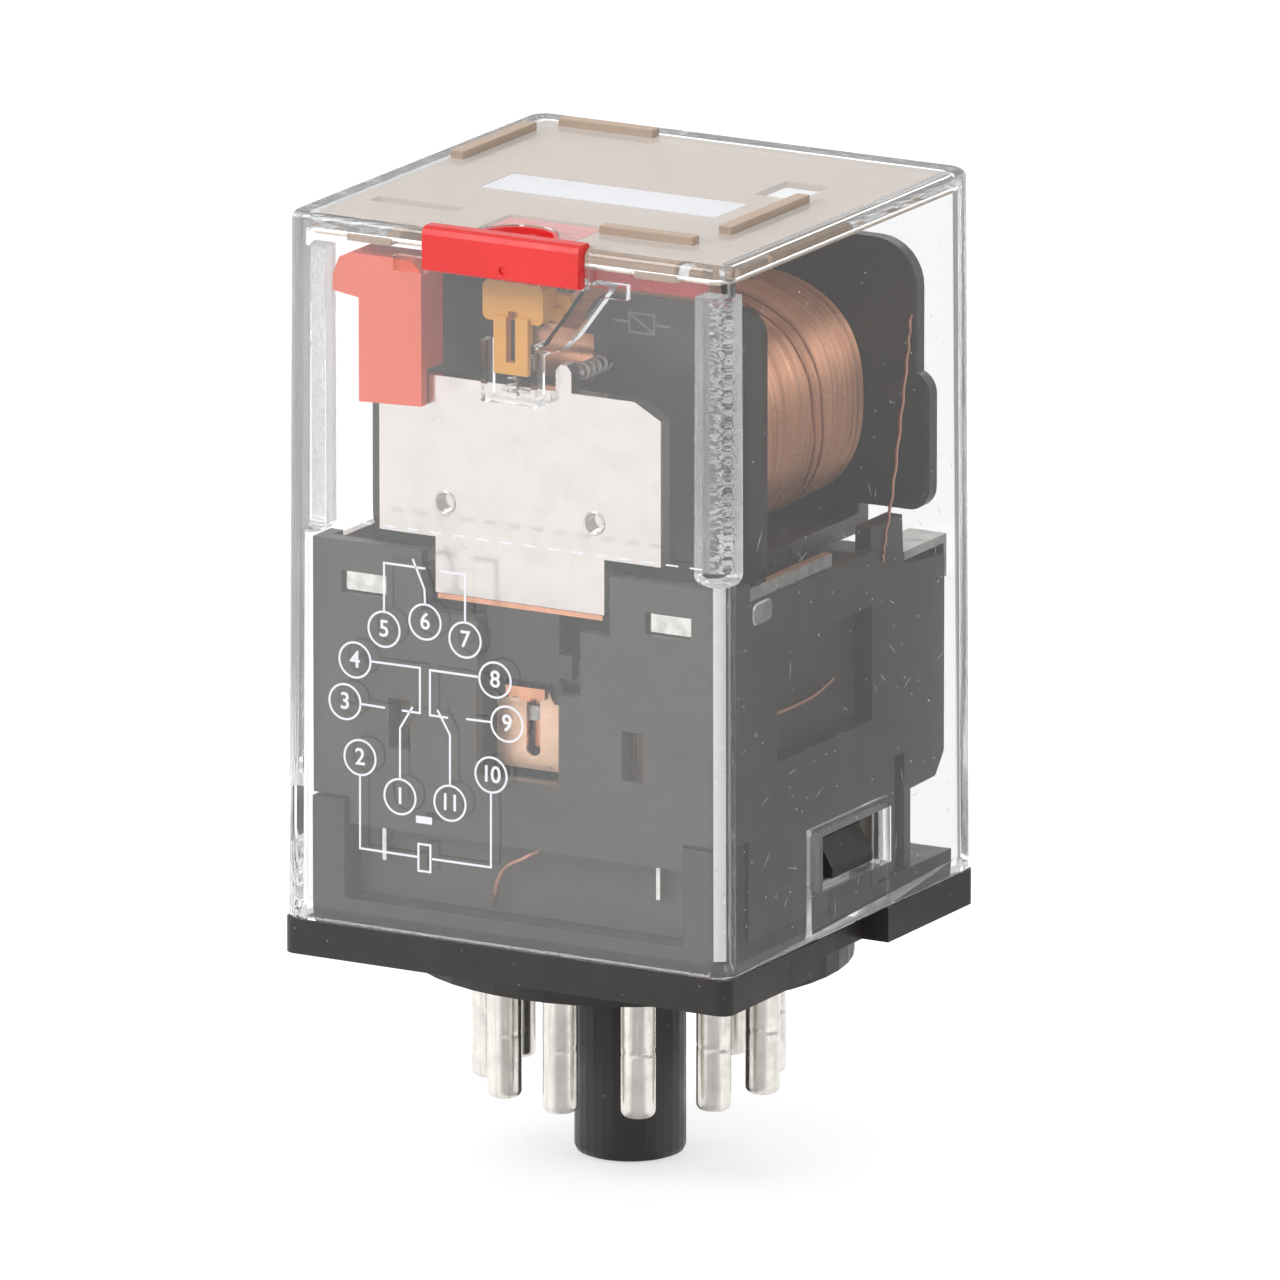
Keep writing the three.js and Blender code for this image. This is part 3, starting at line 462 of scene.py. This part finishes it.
def add(piece, surface, body="relay_body", stands_for=()):
    """Gives the piece its material, body and material slot."""
    if surface is not None:
        piece.data.materials.clear()
        piece.data.materials.append(surface.material)
    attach(piece, body)
    if stands_for:
        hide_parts(*stands_for)
    return piece


# ---------------------------------------------------------------- clear cover
HALF = 17.1                     # half width of the cover at its foot
FOOT, TOP = 3.95, 52.5
DRAFT = 0.25                    # how much each side leans in over the height
WALL = 1.1
INSIDE_TOP = 51.4
POST_BOTTOM, POST_TOP = 30.5, 50.2


def wall_half(height):
    """Half width of the cover, outside, at a height."""
    return HALF - DRAFT * (height - FOOT) / (TOP - FOOT)


def shell_ring(inset, radius, height):
    half = wall_half(height) - inset
    return [(x, y, height) for x, y in rounded_rectangle(half, half, radius, 8)]


def cover_shell():
    edge, inner_edge = 0.6, 0.35
    rings = []
    for step in range(7):                              # inside, from the ceiling down
        turn = step / 6 * math.pi / 2
        inset = WALL + inner_edge * (1 - math.sin(turn))
        height = INSIDE_TOP - inner_edge * (1 - math.cos(turn))
        rings.append(shell_ring(inset, 0.7 - 0.15 * math.cos(turn), height))
    for height in (40.0, 30.6, 28.0, 16.0, 5.0):
        rings.append(shell_ring(WALL, 0.7, height))
    rings.append(shell_ring(WALL - 0.3, 0.9, FOOT))    # chamfer inside the rim
    rings.append(shell_ring(0.12, 1.2, FOOT))
    rings.append(shell_ring(0.0, 1.3, FOOT + 0.12))
    for height in (16.0, 28.0, 40.0):
        rings.append(shell_ring(0.0, 1.3, height))
    for step in range(7):                              # outside, over the top edge
        turn = step / 6 * math.pi / 2
        inset = edge * (1 - math.cos(turn))
        height = TOP - edge * (1 - math.sin(turn))
        rings.append(shell_ring(inset, 1.3 - 0.3 * (1 - math.cos(turn)), height))
    return loft("clear_cover", rings)


def dense(points, spacing):
    """The closed line with extra points, no further apart than the spacing."""
    line = []
    for index, first in enumerate(points):
        second = points[(index + 1) % len(points)]
        steps = max(1, math.ceil(math.dist(first, second) / spacing))
        for step in range(steps):
            share = step / steps
            line.append(tuple(a + (b - a) * share for a, b in zip(first, second)))
    return line


def corner_post(side, bottom, top, size, depth, smooth_below):
    """A post in a front corner of the cover. Its inner faces have dents of this size and depth."""
    middle = 15.2
    outline = dense(rounded_rectangle(1.1, 1.1, 0.35, 3, (side * middle, -middle)), 0.13)
    rings = []
    height = bottom
    while height < top:
        rise = height - bottom
        foot = 1.0 if rise > 0.7 else math.sqrt(1 - (1 - rise / 0.7) ** 2) * 0.6 + 0.4
        strength = depth * min(1.0, max(0.0, (height - smooth_below) / 1.5))
        ring = []
        for x, y in outline:
            out = Vector((x - side * middle, y + middle, 0))
            dent = noise.noise(Vector((x, y, height * 0.55)) / size) * strength
            inner = abs(x) < 15.9 and abs(y) < 15.9
            corner = Vector((side * 16.2, -16.2, 0))
            place = corner + (Vector((x, y, 0)) - corner) * foot
            if inner:
                place += out.normalized() * dent
            ring.append((place.x, place.y, height))
        rings.append(ring)
        height += 0.13
    return loft("corner_post", rings)


def build_cover():
    cover = cover_shell()
    inside_front = -15.95
    additions = []
    trough = [(1.7, 44.9), (2.6, 44.75), (3.7, 45.1), (4.6, 46.0), (7.6, 49.95), (5.8, 49.95), (4.1, 47.5),
              (3.4, 46.6), (2.85, 45.9), (2.5, 45.3), (1.7, 45.3)]
    additions.append(prism("trough", trough, "y", inside_front, -14.1))
    for side in (-1, 1):                               # guide channel of the test button
        wall_x = sorted((side * 1.65, side * 2.15))
        additions.append(box_mesh("wall", wall_x, (inside_front, -14.75), (41.1, 45.3)))
        step_x = sorted((side * 6.5, side * 8.9))
        additions.append(box_mesh("step", step_x, (inside_front, -15.2), (49.2, 50.25)))
        frame_x = sorted((side * 15.6, side * 16.3))
        additions.append(box_mesh("window_frame", frame_x, (-4.95, 5.75), (3.96, 11.45)))
    additions.append(box_mesh("channel_floor", (-2.15, 2.15), (inside_front, -14.75), (41.1, 41.5)))
    combine(cover, additions, "UNION")
    cuts = [box_mesh("lever_notch", (-6.1, 6.1), (-18.2, -15.7), (49.65, 53.6))]
    for side in (-1, 1):
        cuts.append(box_mesh("window", sorted((side * 15.0, side * 18.2)), (-4.1, 5.3), (7.05, 10.9)))
    cuts.append(lathe("finger_recess", [(0, 51), (3.0, 51), (3.0, 54), (0, 54)], 64, (0, -15.5)))
    combine(cover, cuts, "DIFFERENCE")
    crisp = cover.modifiers.new("edges", "BEVEL")
    crisp.width = 0.08 * MM
    crisp.segments = 2
    crisp.limit_method = "ANGLE"
    crisp.angle_limit = math.radians(50)
    crisp.use_clamp_overlap = True
    settle(cover)
    posts = [corner_post(side, POST_BOTTOM, POST_TOP, 0.26, 0.022, smooth_below)
             for side, smooth_below in ((1, 31.8), (-1, 30.6))]
    combine(cover, posts, "UNION")
    cover.data.materials.clear()
    cover.data.materials.append(clear.material)
    cover.data.materials.append(hammered.material)
    cover.data.materials.append(corner_highlight_white.material)
    for polygon in cover.data.polygons:
        x, y, z = polygon.center / MM
        in_post = 13.7 < abs(x) < 15.75 and -15.75 < y < -13.7 and 31.2 < z < POST_TOP
        # Below the posts, the inner front corner strips take the near-opaque white: a painted highlight bar
        # down each corner.
        bend = wall_half(z) - WALL - 0.7
        on_bend = abs(math.hypot(abs(x) - bend, y + bend) - 0.7) < 0.12
        in_corner = on_bend and abs(abs(x) + y) < 0.3 and z < 32
        polygon.material_index = 1 if in_post else (2 if in_corner else 0)
    return shade_by_angle(cover)


add(build_cover(), None, stands_for=["cover"])

# ---------------------------------------------------------------- top plate and its four ribs
PLATE_TOP, PLATE_BOTTOM = 51.33, 50.85
RIB_TOP = 52.79                 # the ribs stand up through the clear cover's top


def build_plate():
    front, half, tab_front = -14.95, 15.4, -15.85
    outline = [(-half, front), (-12.4, front), (-12.4, tab_front), (-9.0, tab_front), (-9.0, front),
               (-3.8, front), (-3.8, -9.4), (3.8, -9.4), (3.8, front),
               (9.5, front), (9.5, tab_front), (12.7, tab_front), (12.7, front), (half, front),
               (half, half), (-half, half)]
    plate = prism("top_plate_shell", outline, "z", PLATE_BOTTOM, PLATE_TOP)
    cuts = [box_mesh("slot", (-14.0, -7.3), (-10.6, -9.2), (49, 53)),
            box_mesh("hole", (7.5, 10.9), (3.5, 7.9), (49, 53)),
            box_mesh("recess", (-9.6, 8.6), (-3.6, 1.0), (51.1, 53))]
    combine(plate, cuts, "DIFFERENCE")
    return soften(plate, 0.06)


add(build_plate(), beige, stands_for=["top_plate"])
RIBS = {"left": ((-15.35, -14.35), (2.6, 12.6)), "back": ((-13.7, -6.4), (14.3, 15.3)),
        "right": ((10.95, 11.95), (-7.5, 3.2)), "front": ((4.1, 11.2), (-11.45, -10.45))}
for side, (x, y) in RIBS.items():
    rib = box_mesh(f"plate_rib_{side}", x, y, (51.3, RIB_TOP))
    soften(rib, 0.07)
    add(rib, beige)

# ---------------------------------------------------------------- connection diagram printed on the cover
LINE = 0.15


class Print:
    """Flat print made of many thin closed strips, gathered in one piece."""

    def __init__(self, surface_y, thickness=0.02):
        self.surface_y = surface_y
        self.thickness = thickness
        self.vertices, self.faces = [], []

    def stroke(self, points, closed=False, width=LINE):
        line = [Vector(p) for p in points]
        count = len(line)
        sides = []
        for index, point in enumerate(line):
            before = line[index - 1] if closed or index else point
            after = line[(index + 1) % count] if closed or index < count - 1 else point
            first = (point - before).normalized() if before is not point else (after - point).normalized()
            second = (after - point).normalized() if after is not point else first
            across = (Vector((-first.y, first.x)) + Vector((-second.y, second.x))).normalized()
            reach = width / 2 / max(0.4, across.dot(Vector((-first.y, first.x))))
            sides.append((point + across * reach, point - across * reach))
        start = len(self.vertices)
        for left, right in sides:
            for side in (left, right):
                for depth in (0.0, -self.thickness):
                    self.vertices.append((side.x, self.surface_y(side.y) + 0.005 + depth, side.y))
        for index in range(count if closed else count - 1):
            a = start + 4 * index
            b = start + 4 * ((index + 1) % count)
            self.faces += [(a, b, b + 2, a + 2), (a + 1, a + 3, b + 3, b + 1),
                           (a, a + 1, b + 1, b), (a + 2, b + 2, b + 3, a + 3)]
        if not closed:
            end = start + 4 * (count - 1)
            self.faces += [(start, start + 2, start + 3, start + 1), (end, end + 1, end + 3, end + 2)]

    def circle(self, middle, radius):
        turns = [2 * math.pi * side / 40 for side in range(40)]
        points = [(middle[0] + radius * math.cos(t), middle[1] + radius * math.sin(t)) for t in turns]
        self.stroke(points, closed=True)

    def digits(self, text, middle, size=1.62):
        curve = bpy.data.curves.new("digits", "FONT")
        curve.body = text
        curve.size = size
        curve.offset = 0.02
        curve.space_character = 0.9
        curve.align_x, curve.align_y = "CENTER", "CENTER"
        curve.extrude = self.thickness / 2
        curve.resolution_u = 6
        holder = bpy.data.objects.new("digits", curve)
        bpy.context.scene.collection.objects.link(holder)
        graph = bpy.context.evaluated_depsgraph_get()
        graph.update()
        shape = bpy.data.meshes.new_from_object(holder.evaluated_get(graph))
        clean = bmesh.new()
        clean.from_mesh(shape)
        bmesh.ops.remove_doubles(clean, verts=clean.verts, dist=1e-5)
        start = len(self.vertices)
        for vertex in clean.verts:
            x, z, out = vertex.co
            height = middle[1] + z
            depth = 0.005 - self.thickness / 2 - out
            self.vertices.append((middle[0] + x, self.surface_y(height) + depth, height))
        self.faces += [tuple(start + v.index for v in face.verts) for face in clean.faces]
        clean.free()
        bpy.data.objects.remove(holder)

    def piece(self, name):
        return mesh_object(name, self.vertices, self.faces, smooth=False)


diagram = Print(lambda height: -wall_half(height))
TERMINALS = {
    "5": (-9.2, 24.75), "6": (-6.05, 25.65), "7": (-2.98, 24.8), "4": (-11.44, 22.36), "8": (-0.68, 22.35),
    "3": (-12.21, 19.4), "9": (0.24, 19.45), "2": (-11.05, 15.7), "10": (-0.98, 15.8), "1": (-7.97, 13.4),
    "11": (-4.13, 13.45)}
CIRCLE = 1.2
for text, middle in TERMINALS.items():
    diagram.circle(middle, CIRCLE)
    diagram.digits(text, middle)
WIRES = [
    [(-9.2, 24.75 + CIRCLE), (-9.2, 29.31), (-6.03, 29.31)],
    [(-6.05, 25.65 + CIRCLE), (-6.1, 27.9), (-7.0, 29.85)],
    [(-2.98, 24.8 + CIRCLE), (-2.98, 29.28), (-4.9, 29.28)],
    [(-11.44 + CIRCLE, 22.42), (-6.44, 22.45), (-6.44, 19.35), (-7.82, 19.35)],
    [(-12.21 + CIRCLE, 19.4), (-9.13, 19.37)], [(-7.97, 13.4 + CIRCLE), (-7.97, 18.13), (-7.0, 19.7)],
    [(-0.68 - CIRCLE, 22.4), (-5.67, 22.4), (-5.67, 19.3), (-4.28, 19.3)],
    [(0.24 - CIRCLE, 19.43), (-2.9, 19.4)], [(-4.13, 13.45 + CIRCLE), (-4.13, 18.14), (-5.1, 19.74)],
    [(-11.05, 15.7 - CIRCLE), (-11.05, 9.45), (-6.6, 9.43)],
    [(-0.98, 15.8 - CIRCLE), (-0.98, 9.45), (-5.5, 9.43)]]
for wire in WIRES:
    diagram.stroke(wire)
diagram.stroke([(-6.55, 8.5), (-5.63, 8.5), (-5.63, 10.35), (-6.55, 10.35)], closed=True)
diagram.stroke([(-6.74, 12.03), (-5.51, 12.03)], width=0.5)
for dash in range(17):
    start = -14.67 + 1.8 * dash
    diagram.stroke([(start, 31.86), (start + 0.93, 31.86)], width=0.11)
add(diagram.piece("connection_diagram"), ink)

symbol = Print(lambda height: -9.0)
symbol.stroke([(5.3, 45.3), (7.2, 45.3), (7.2, 46.6), (5.3, 46.6)], closed=True)
symbol.stroke([(5.4, 46.5), (7.1, 45.4)])
symbol.stroke([(4.1, 45.95), (5.3, 45.95)])
symbol.stroke([(7.2, 45.95), (8.4, 45.95)])
add(symbol.piece("coil_symbol"), faded_ink)

# ---------------------------------------------------------------- coil winding and its strands
COIL_Z = 36.75
COIL_FRONT, COIL_BACK = -8.15, 12.95
PITCH = 0.17


def oval(half_a, half_b, count=96, power=2.55):
    """Points round an oval that is a little squarer than an ellipse, about the coil's axis."""
    points = []
    for step in range(count):
        turn = 2 * math.pi * step / count
        c, s = math.cos(turn), math.sin(turn)
        points.append((half_a * math.copysign(abs(c) ** (2 / power), c),
                       COIL_Z + half_b * math.copysign(abs(s) ** (2 / power), s)))
    return points


def coil_section(y, drop, wobble):
    points = []
    for x, z in oval(10.1 - drop, 8.2 - drop):
        shift = 0.05 * noise.noise(Vector((x * 0.25, z * 0.25, wobble)))
        points.append((x, y + shift, z))
    return points


def build_winding():
    turns = int((COIL_BACK - COIL_FRONT) / PITCH)
    rings = []
    inner = oval(5.4, 4.5, power=6.0)
    rings.append([(x, COIL_FRONT + 0.06, z) for x, z in inner])
    for turn in range(turns):
        high = 0.03 + 0.045 * noise.noise(Vector((turn * 0.37, 2.0, 5.0)))
        for phase in (0.06, 0.28, 0.5, 0.72, 0.94):
            arch = math.sqrt(max(0.0, 1 - (2 * phase - 1) ** 2))
            y = COIL_FRONT + 0.06 + (turn + phase) * PITCH * 0.994
            rings.append(coil_section(y, 0.13 - 0.1 * arch + high, turn * 0.2))
    rings.append([(x, COIL_BACK - 0.06, z) for x, z in inner])
    return loft("coil_winding_turns", rings, closed=True)


add(build_winding(), enamel, stands_for=["coil_winding"])


def strand(name, start_y, end_y, start_turn, end_turn):
    """A loose strand that wanders over the winding, from one angle about the coil to another."""
    points = []
    for step in range(61):
        share = step / 60
        turn = start_turn + (end_turn - start_turn) * share
        across = abs(math.cos(turn)) / 10.1
        up = abs(math.sin(turn)) / 8.2
        reach = 1 / (across ** 2.55 + up ** 2.55) ** (1 / 2.55)
        y = start_y + (end_y - start_y) * share ** 1.6 + 0.05 * math.sin(step * 0.9)
        points.append((reach * math.cos(turn), y, COIL_Z + reach * math.sin(turn)))
    return tube(name, points, 0.085, 8)


add(strand("loose_strand_1", 4.2, 7.3, 2.2, -1.0), dark_enamel)
add(strand("loose_strand_2", 5.8, 8.2, 2.3, -1.1), dark_enamel)

for side, sign in (("right", 1), ("left", -1)):
    route = [(13.6, 12.9, 42.8), (13.85, 12.0, 40.4), (14.4, 10.1, 36.5),
             (14.9, 8.1, 32.0), (15.2, 6.5, 28.8), (15.3, 6.0, 27.4)]
    core_line = smooth_line([(sign * x, y, z) for x, y, z in route], 90)
    twisted = [point + Vector((0.04 * math.cos(i * 0.8), 0.04 * math.sin(i * 0.8), 0))
               for i, point in enumerate(core_line)]
    wire = tube(f"coil_lead_wire_{side}", twisted, 0.11)
    add(wire, dull_copper, stands_for=[f"coil_lead_{side}"])

DIMPLE_RADIUS = 0.74
for index, x in enumerate((-5.7, 5.7)):
    circle = [(x + DIMPLE_RADIUS * math.cos(t), -14.4, 33.4 + DIMPLE_RADIUS * math.sin(t))
              for t in (math.pi * k / 16 for k in range(33))]
    rim = tube(f"armature_dimple_rim_{index + 1}", circle, 0.09, 8)
    add(rim, nickel, body="armature_group")

# ---------------------------------------------------------------- pins
PIN_SIDES = 40


def build_pin(name):
    low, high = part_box(name)
    middle = [(a + b) / 2 / MM for a, b in zip(low, high)]
    radius = (high[0] - low[0]) / 2 / MM
    tip, top = low[2] / MM, high[2] / MM
    round_tip = 0.5
    seed = float(name[-2:])
    levels = [(radius - round_tip * (1 - math.sin(a)), tip + round_tip * (1 - math.cos(a)))
              for a in (step / 5 * math.pi / 2 for step in range(6))]
    height = tip + round_tip + 0.2
    while height < 0.2:
        levels.append((radius, height))
        height += 0.14
    levels.append((radius, top))
    levels[0] = (radius - round_tip, tip)
    rings = []
    for level, height in levels:
        ring = []
        for side in range(PIN_SIDES):
            turn = 2 * math.pi * side / PIN_SIDES
            spot = Vector((math.cos(turn), math.sin(turn), seed))
            mark = -4.6 + 0.35 * noise.noise(spot * 1.6) + 0.12 * noise.noise(spot * 6)
            groove = math.exp(-((height - mark) / 0.13) ** 2) * (0.6 + noise.noise(spot * 3.0))
            dent = 0.005 * noise.noise(Vector((spot.x * 2, spot.y * 2, height * 0.8 + seed)))
            reach = level - 0.06 * max(0.0, groove) + (dent if height < 0 else 0.0) - 0.005
            ring.append((middle[0] + reach * math.cos(turn), middle[1] + reach * math.sin(turn), height))
        rings.append(ring)
    return loft(name + "_drawn", rings)


for index in range(1, 12):
    name = f"pin_{index:02d}"
    add(build_pin(name), tin, stands_for=[name])

# ---------------------------------------------------------------- contact springs
LEAF_FRONT, LEAF_BACK = -12.6, -12.35


def cut_levels(piece, levels):
    """Adds edge loops to the piece at these heights."""
    edit = bmesh.new()
    edit.from_mesh(piece.data)
    for level in levels:
        everything = list(edit.verts) + list(edit.edges) + list(edit.faces)
        bmesh.ops.bisect_plane(edit, geom=everything, plane_co=(0, 0, level * MM), plane_no=(0, 0, 1))
    edit.to_mesh(piece.data)
    edit.free()
    return piece


def build_leaf(name, centre):
    slot_half, slot_bottom, top, half = 0.52, 16.75, 21.0, 2.8
    arc = [(slot_half * math.cos(t), slot_bottom - slot_half * math.sin(t) * 0.8)
           for t in (math.pi * step / 10 for step in range(11))]
    right = [(half, 15.42), (half, 18.9), (half - 0.07, 19.0), (half - 0.07, 19.5), (half, 19.6),
             (half, top - 0.1), (1.85, top), (1.52, top - 0.85), (1.2, top), (slot_half, top - 0.12)]
    left = [(-x, z) for x, z in reversed(right)]
    outline = [(centre + x, z) for x, z in right + arc + left]
    piece = prism(name, outline, "y", LEAF_FRONT, LEAF_BACK)
    cut_levels(piece, [19.6 + 0.14 * step for step in range(10)])
    for vertex in piece.data.vertices:
        height = vertex.co.z / MM
        curl = 0.1 * max(0.0, (height - 19.7) / 1.3) ** 2
        vertex.co.y -= curl * MM
    return piece


for side, centre in (("left", -7.4), ("centre", 0.0), ("right", 7.4)):
    leaf = build_leaf(f"contact_leaf_{side}", centre)
    soften(leaf, 0.04, segments=2, angle=40)
    add(leaf, spring_copper, body=f"contact_{side}", stands_for=[f"contact_spring_{side}"])

# ---------------------------------------------------------------- finger dish on the test lever's tail
DISH_MIDDLE = -15.55
DISH_FLOOR, DISH_RIM = 52.05, 52.44


def half_round(radius):
    """Half a disc behind the dish's middle, as an outline."""
    turns = [math.pi * step / 40 for step in range(41)]
    return [(radius * math.cos(t), DISH_MIDDLE + radius * math.sin(t)) for t in turns]


dish = prism("lever_finger_dish", half_round(2.93), "z", 51.0, DISH_RIM)
hollow_outline = [(2.6, DISH_MIDDLE - 1), *half_round(2.6), (-2.6, DISH_MIDDLE - 1)]
hollow = prism("hollow", hollow_outline, "z", DISH_FLOOR, DISH_RIM + 1)
combine(dish, [hollow], "DIFFERENCE")
soften(dish, 0.04)
add(dish, red, body="lever")

# ---------------------------------------------------------------- loop tabs of the side strips
for side, sign in (("right", 1), ("left", -1)):
    outline = rounded_rectangle(1.3, 0.78, 0.5, 5, (-10.95, 27.8))
    loop = prism(f"side_loop_{side}", outline, "x", *sorted((sign * 15.15, sign * 15.65)))
    soften(loop, 0.16, segments=3)
    add(loop, silver)

# ---------------------------------------------------------------- button arrow
arrow = [(2.0, 46.7), (2.6, 46.2), (3.7, 47.3), (3.3, 48.5), (2.0, 48.5)]
wing = prism("button_arrow", arrow, "y", -13.6, -13.0)
soften(wing, 0.1)
add(wing, amber, body="button")

# ---------------------------------------------------------------- return springs of the test button and the armature


def helix(name, first, last, radius, wire, turns):
    """A wire spring from one point to another, along Y or Z."""
    first, last = Vector(first), Vector(last)
    along_y = abs(last.y - first.y) > abs(last.z - first.z)
    steps = turns * 28
    points = []
    for step in range(steps + 1):
        turn = 2 * math.pi * turns * step / steps
        point = first.lerp(last, step / steps)
        point.x += radius * math.cos(turn)
        if along_y:
            point.z += radius * math.sin(turn)
        else:
            point.y += radius * math.sin(turn)
        points.append(point)
    return tube(name, points, wire, 10)


BUTTON_SEAT, ARMATURE_SEAT = (0, -15.25, 41.65), (3.55, -9.15, 43.05)
press_spring = helix("button_return_spring", BUTTON_SEAT, (0, -15.25, 43.0), 0.35, 0.08, 3)
add(press_spring, steel, stands_for=["button_spring"])
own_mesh(press_spring)
tilt_spring = helix("armature_return_spring", (3.55, -13.02, 43.05), ARMATURE_SEAT, 0.5, 0.12, 5)
add(tilt_spring, steel, stands_for=["armature_spring"])
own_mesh(tilt_spring)

# ---------------------------------------------------------------- dust and scuffs on the right wall
shuffle = np.random.default_rng(7)
fleck_vertices, fleck_faces = [], []


def fleck(place, length, angle, width):
    """A tiny flat diamond of dust lying on the wall."""
    along = Vector((0, math.cos(angle), math.sin(angle))) * length / 2
    across = Vector((0, -math.sin(angle), math.cos(angle))) * width / 2
    out = Vector((0.02, 0, 0))
    start = len(fleck_vertices)
    fleck_vertices.extend([place + along, place + across, place - along, place - across,
                           place + out, place - out])
    for a, b in ((0, 1), (1, 2), (2, 3), (3, 0)):
        fleck_faces.append((start + a, start + b, start + 4))
        fleck_faces.append((start + b, start + a, start + 5))


for count in range(170):
    height = float(shuffle.uniform(5, 49))
    place = Vector((wall_half(height) - WALL - 0.03, float(shuffle.uniform(-14.8, 14.8)), height))
    long_one = shuffle.random() < 0.22
    length = float(shuffle.uniform(0.6, 1.8) if long_one else shuffle.uniform(0.1, 0.28))
    width = 0.06 if long_one else float(shuffle.uniform(0.08, 0.16))
    fleck(place, length, float(shuffle.uniform(0, math.pi)), width)
add(mesh_object("dust_flecks", fleck_vertices, fleck_faces, smooth=False), dust)

# ---------------------------------------------------------------- floor, lights and camera
FLOOR_Z = -0.0141
GLOW = 0.62                     # the paper is lit from below as well, as on a light table
floor = mesh_object("floor", [(-3000, -3000, FLOOR_Z / MM), (3000, -3000, FLOOR_Z / MM),
                              (3000, 3000, FLOOR_Z / MM), (-3000, 3000, FLOOR_Z / MM)], [(0, 1, 2, 3)])
paper = Surface("backdrop_paper", (0.52, 0.52, 0.52), 0.85)
paper.rough(paper.noise(0.02), 0.8, 0.9)


def along(direction):
    """How far a point of the floor lies along a direction, in metres."""
    dot = paper.nodes.new("ShaderNodeVectorMath")
    dot.operation = "DOT_PRODUCT"
    dot.inputs[1].default_value = (*direction, 0)
    paper.link(paper.place, dot.inputs[0])
    return dot.outputs["Value"]


def maths(operation, first, second):
    node = paper.nodes.new("ShaderNodeMath")
    node.operation = operation
    for value, socket in ((first, node.inputs[0]), (second, node.inputs[1])):
        if isinstance(value, (int, float)):
            socket.default_value = value
        else:
            paper.link(value, socket)
    return node.outputs[0]


# In reflections only, the paper is dark off to the right and straight in front, as beside a studio table.
TO_RIGHT, TO_FRONT = (0.870, 0.494), (0.494, -0.870)
right_dark = paper.level(along(TO_RIGHT), 0.045, 0.075, 0.0, 0.8)
ratio = maths("DIVIDE", maths("ABSOLUTE", along(TO_RIGHT), 0.0), maths("MAXIMUM", along(TO_FRONT), 0.001))
near_dark = maths("MULTIPLY", paper.level(ratio, 0.45, 1.0, 0.5, 0.0),
                  paper.level(along(TO_FRONT), 0.09, 0.13, 1.0, 0.0))
shade_share = maths("MULTIPLY", maths("MAXIMUM", right_dark, near_dark),
                    paper.nodes.new("ShaderNodeLightPath").outputs["Is Glossy Ray"])
paper.tint(shade_share, (0.02, 0.02, 0.02))
paper.shader.inputs["Emission Color"].default_value = (1, 1, 1, 1)
paper.link(paper.level(shade_share, 0.0, 1.0, GLOW, 0.0), paper.shader.inputs["Emission Strength"])
floor.data.materials.append(paper.material)

world = bpy.data.worlds.new("studio")
bpy.context.scene.world = world
world.use_nodes = True
world.node_tree.nodes["Background"].inputs["Color"].default_value = (1.0, 1.0, 1.0, 1)
world.node_tree.nodes["Background"].inputs["Strength"].default_value = 0.76


def softbox(name, place, aim, size, power, color=(1, 1, 1)):
    lamp = bpy.data.lights.new(name, "AREA")
    lamp.shape = "RECTANGLE"
    lamp.size, lamp.size_y = size
    lamp.energy = power
    lamp.color = color
    holder = bpy.data.objects.new(name, lamp)
    holder.location = place
    holder.rotation_euler = (Vector(aim) - Vector(place)).to_track_quat("-Z", "Y").to_euler()
    bpy.context.scene.collection.objects.link(holder)
    return holder


MIDDLE = (0, 0, 0.022)
softbox("key_light", (-0.45, -0.75, 0.75), MIDDLE, (0.5, 0.5), 4.9)
softbox("side_light", (0.9, -0.1, 0.45), MIDDLE, (0.35, 0.6), 1.2)
softbox("back_light", (-0.3, 0.8, 0.7), MIDDLE, (0.8, 0.4), 3.2).visible_glossy = False

camera_data = bpy.data.cameras.new("camera")
camera = bpy.data.objects.new("camera", camera_data)
bpy.context.scene.collection.objects.link(camera)
camera_data.sensor_width = 36.0
camera_data.lens = 681.0
camera_data.clip_start, camera_data.clip_end = 0.05, 20.0
camera.location = (0.77473, -1.36667, 0.42554)
CAMERA_AIM = Vector((0.00075, 0.0, 0.02147))
camera.rotation_euler = (CAMERA_AIM - camera.location).to_track_quat("-Z", "Y").to_euler()
bpy.context.scene.camera = camera
scene = bpy.context.scene
scene.view_settings.view_transform = "Standard"
scene.cycles.max_bounces = 64
scene.cycles.transmission_bounces = 64
scene.cycles.glossy_bounces = 48
scene.cycles.transparent_max_bounces = 16
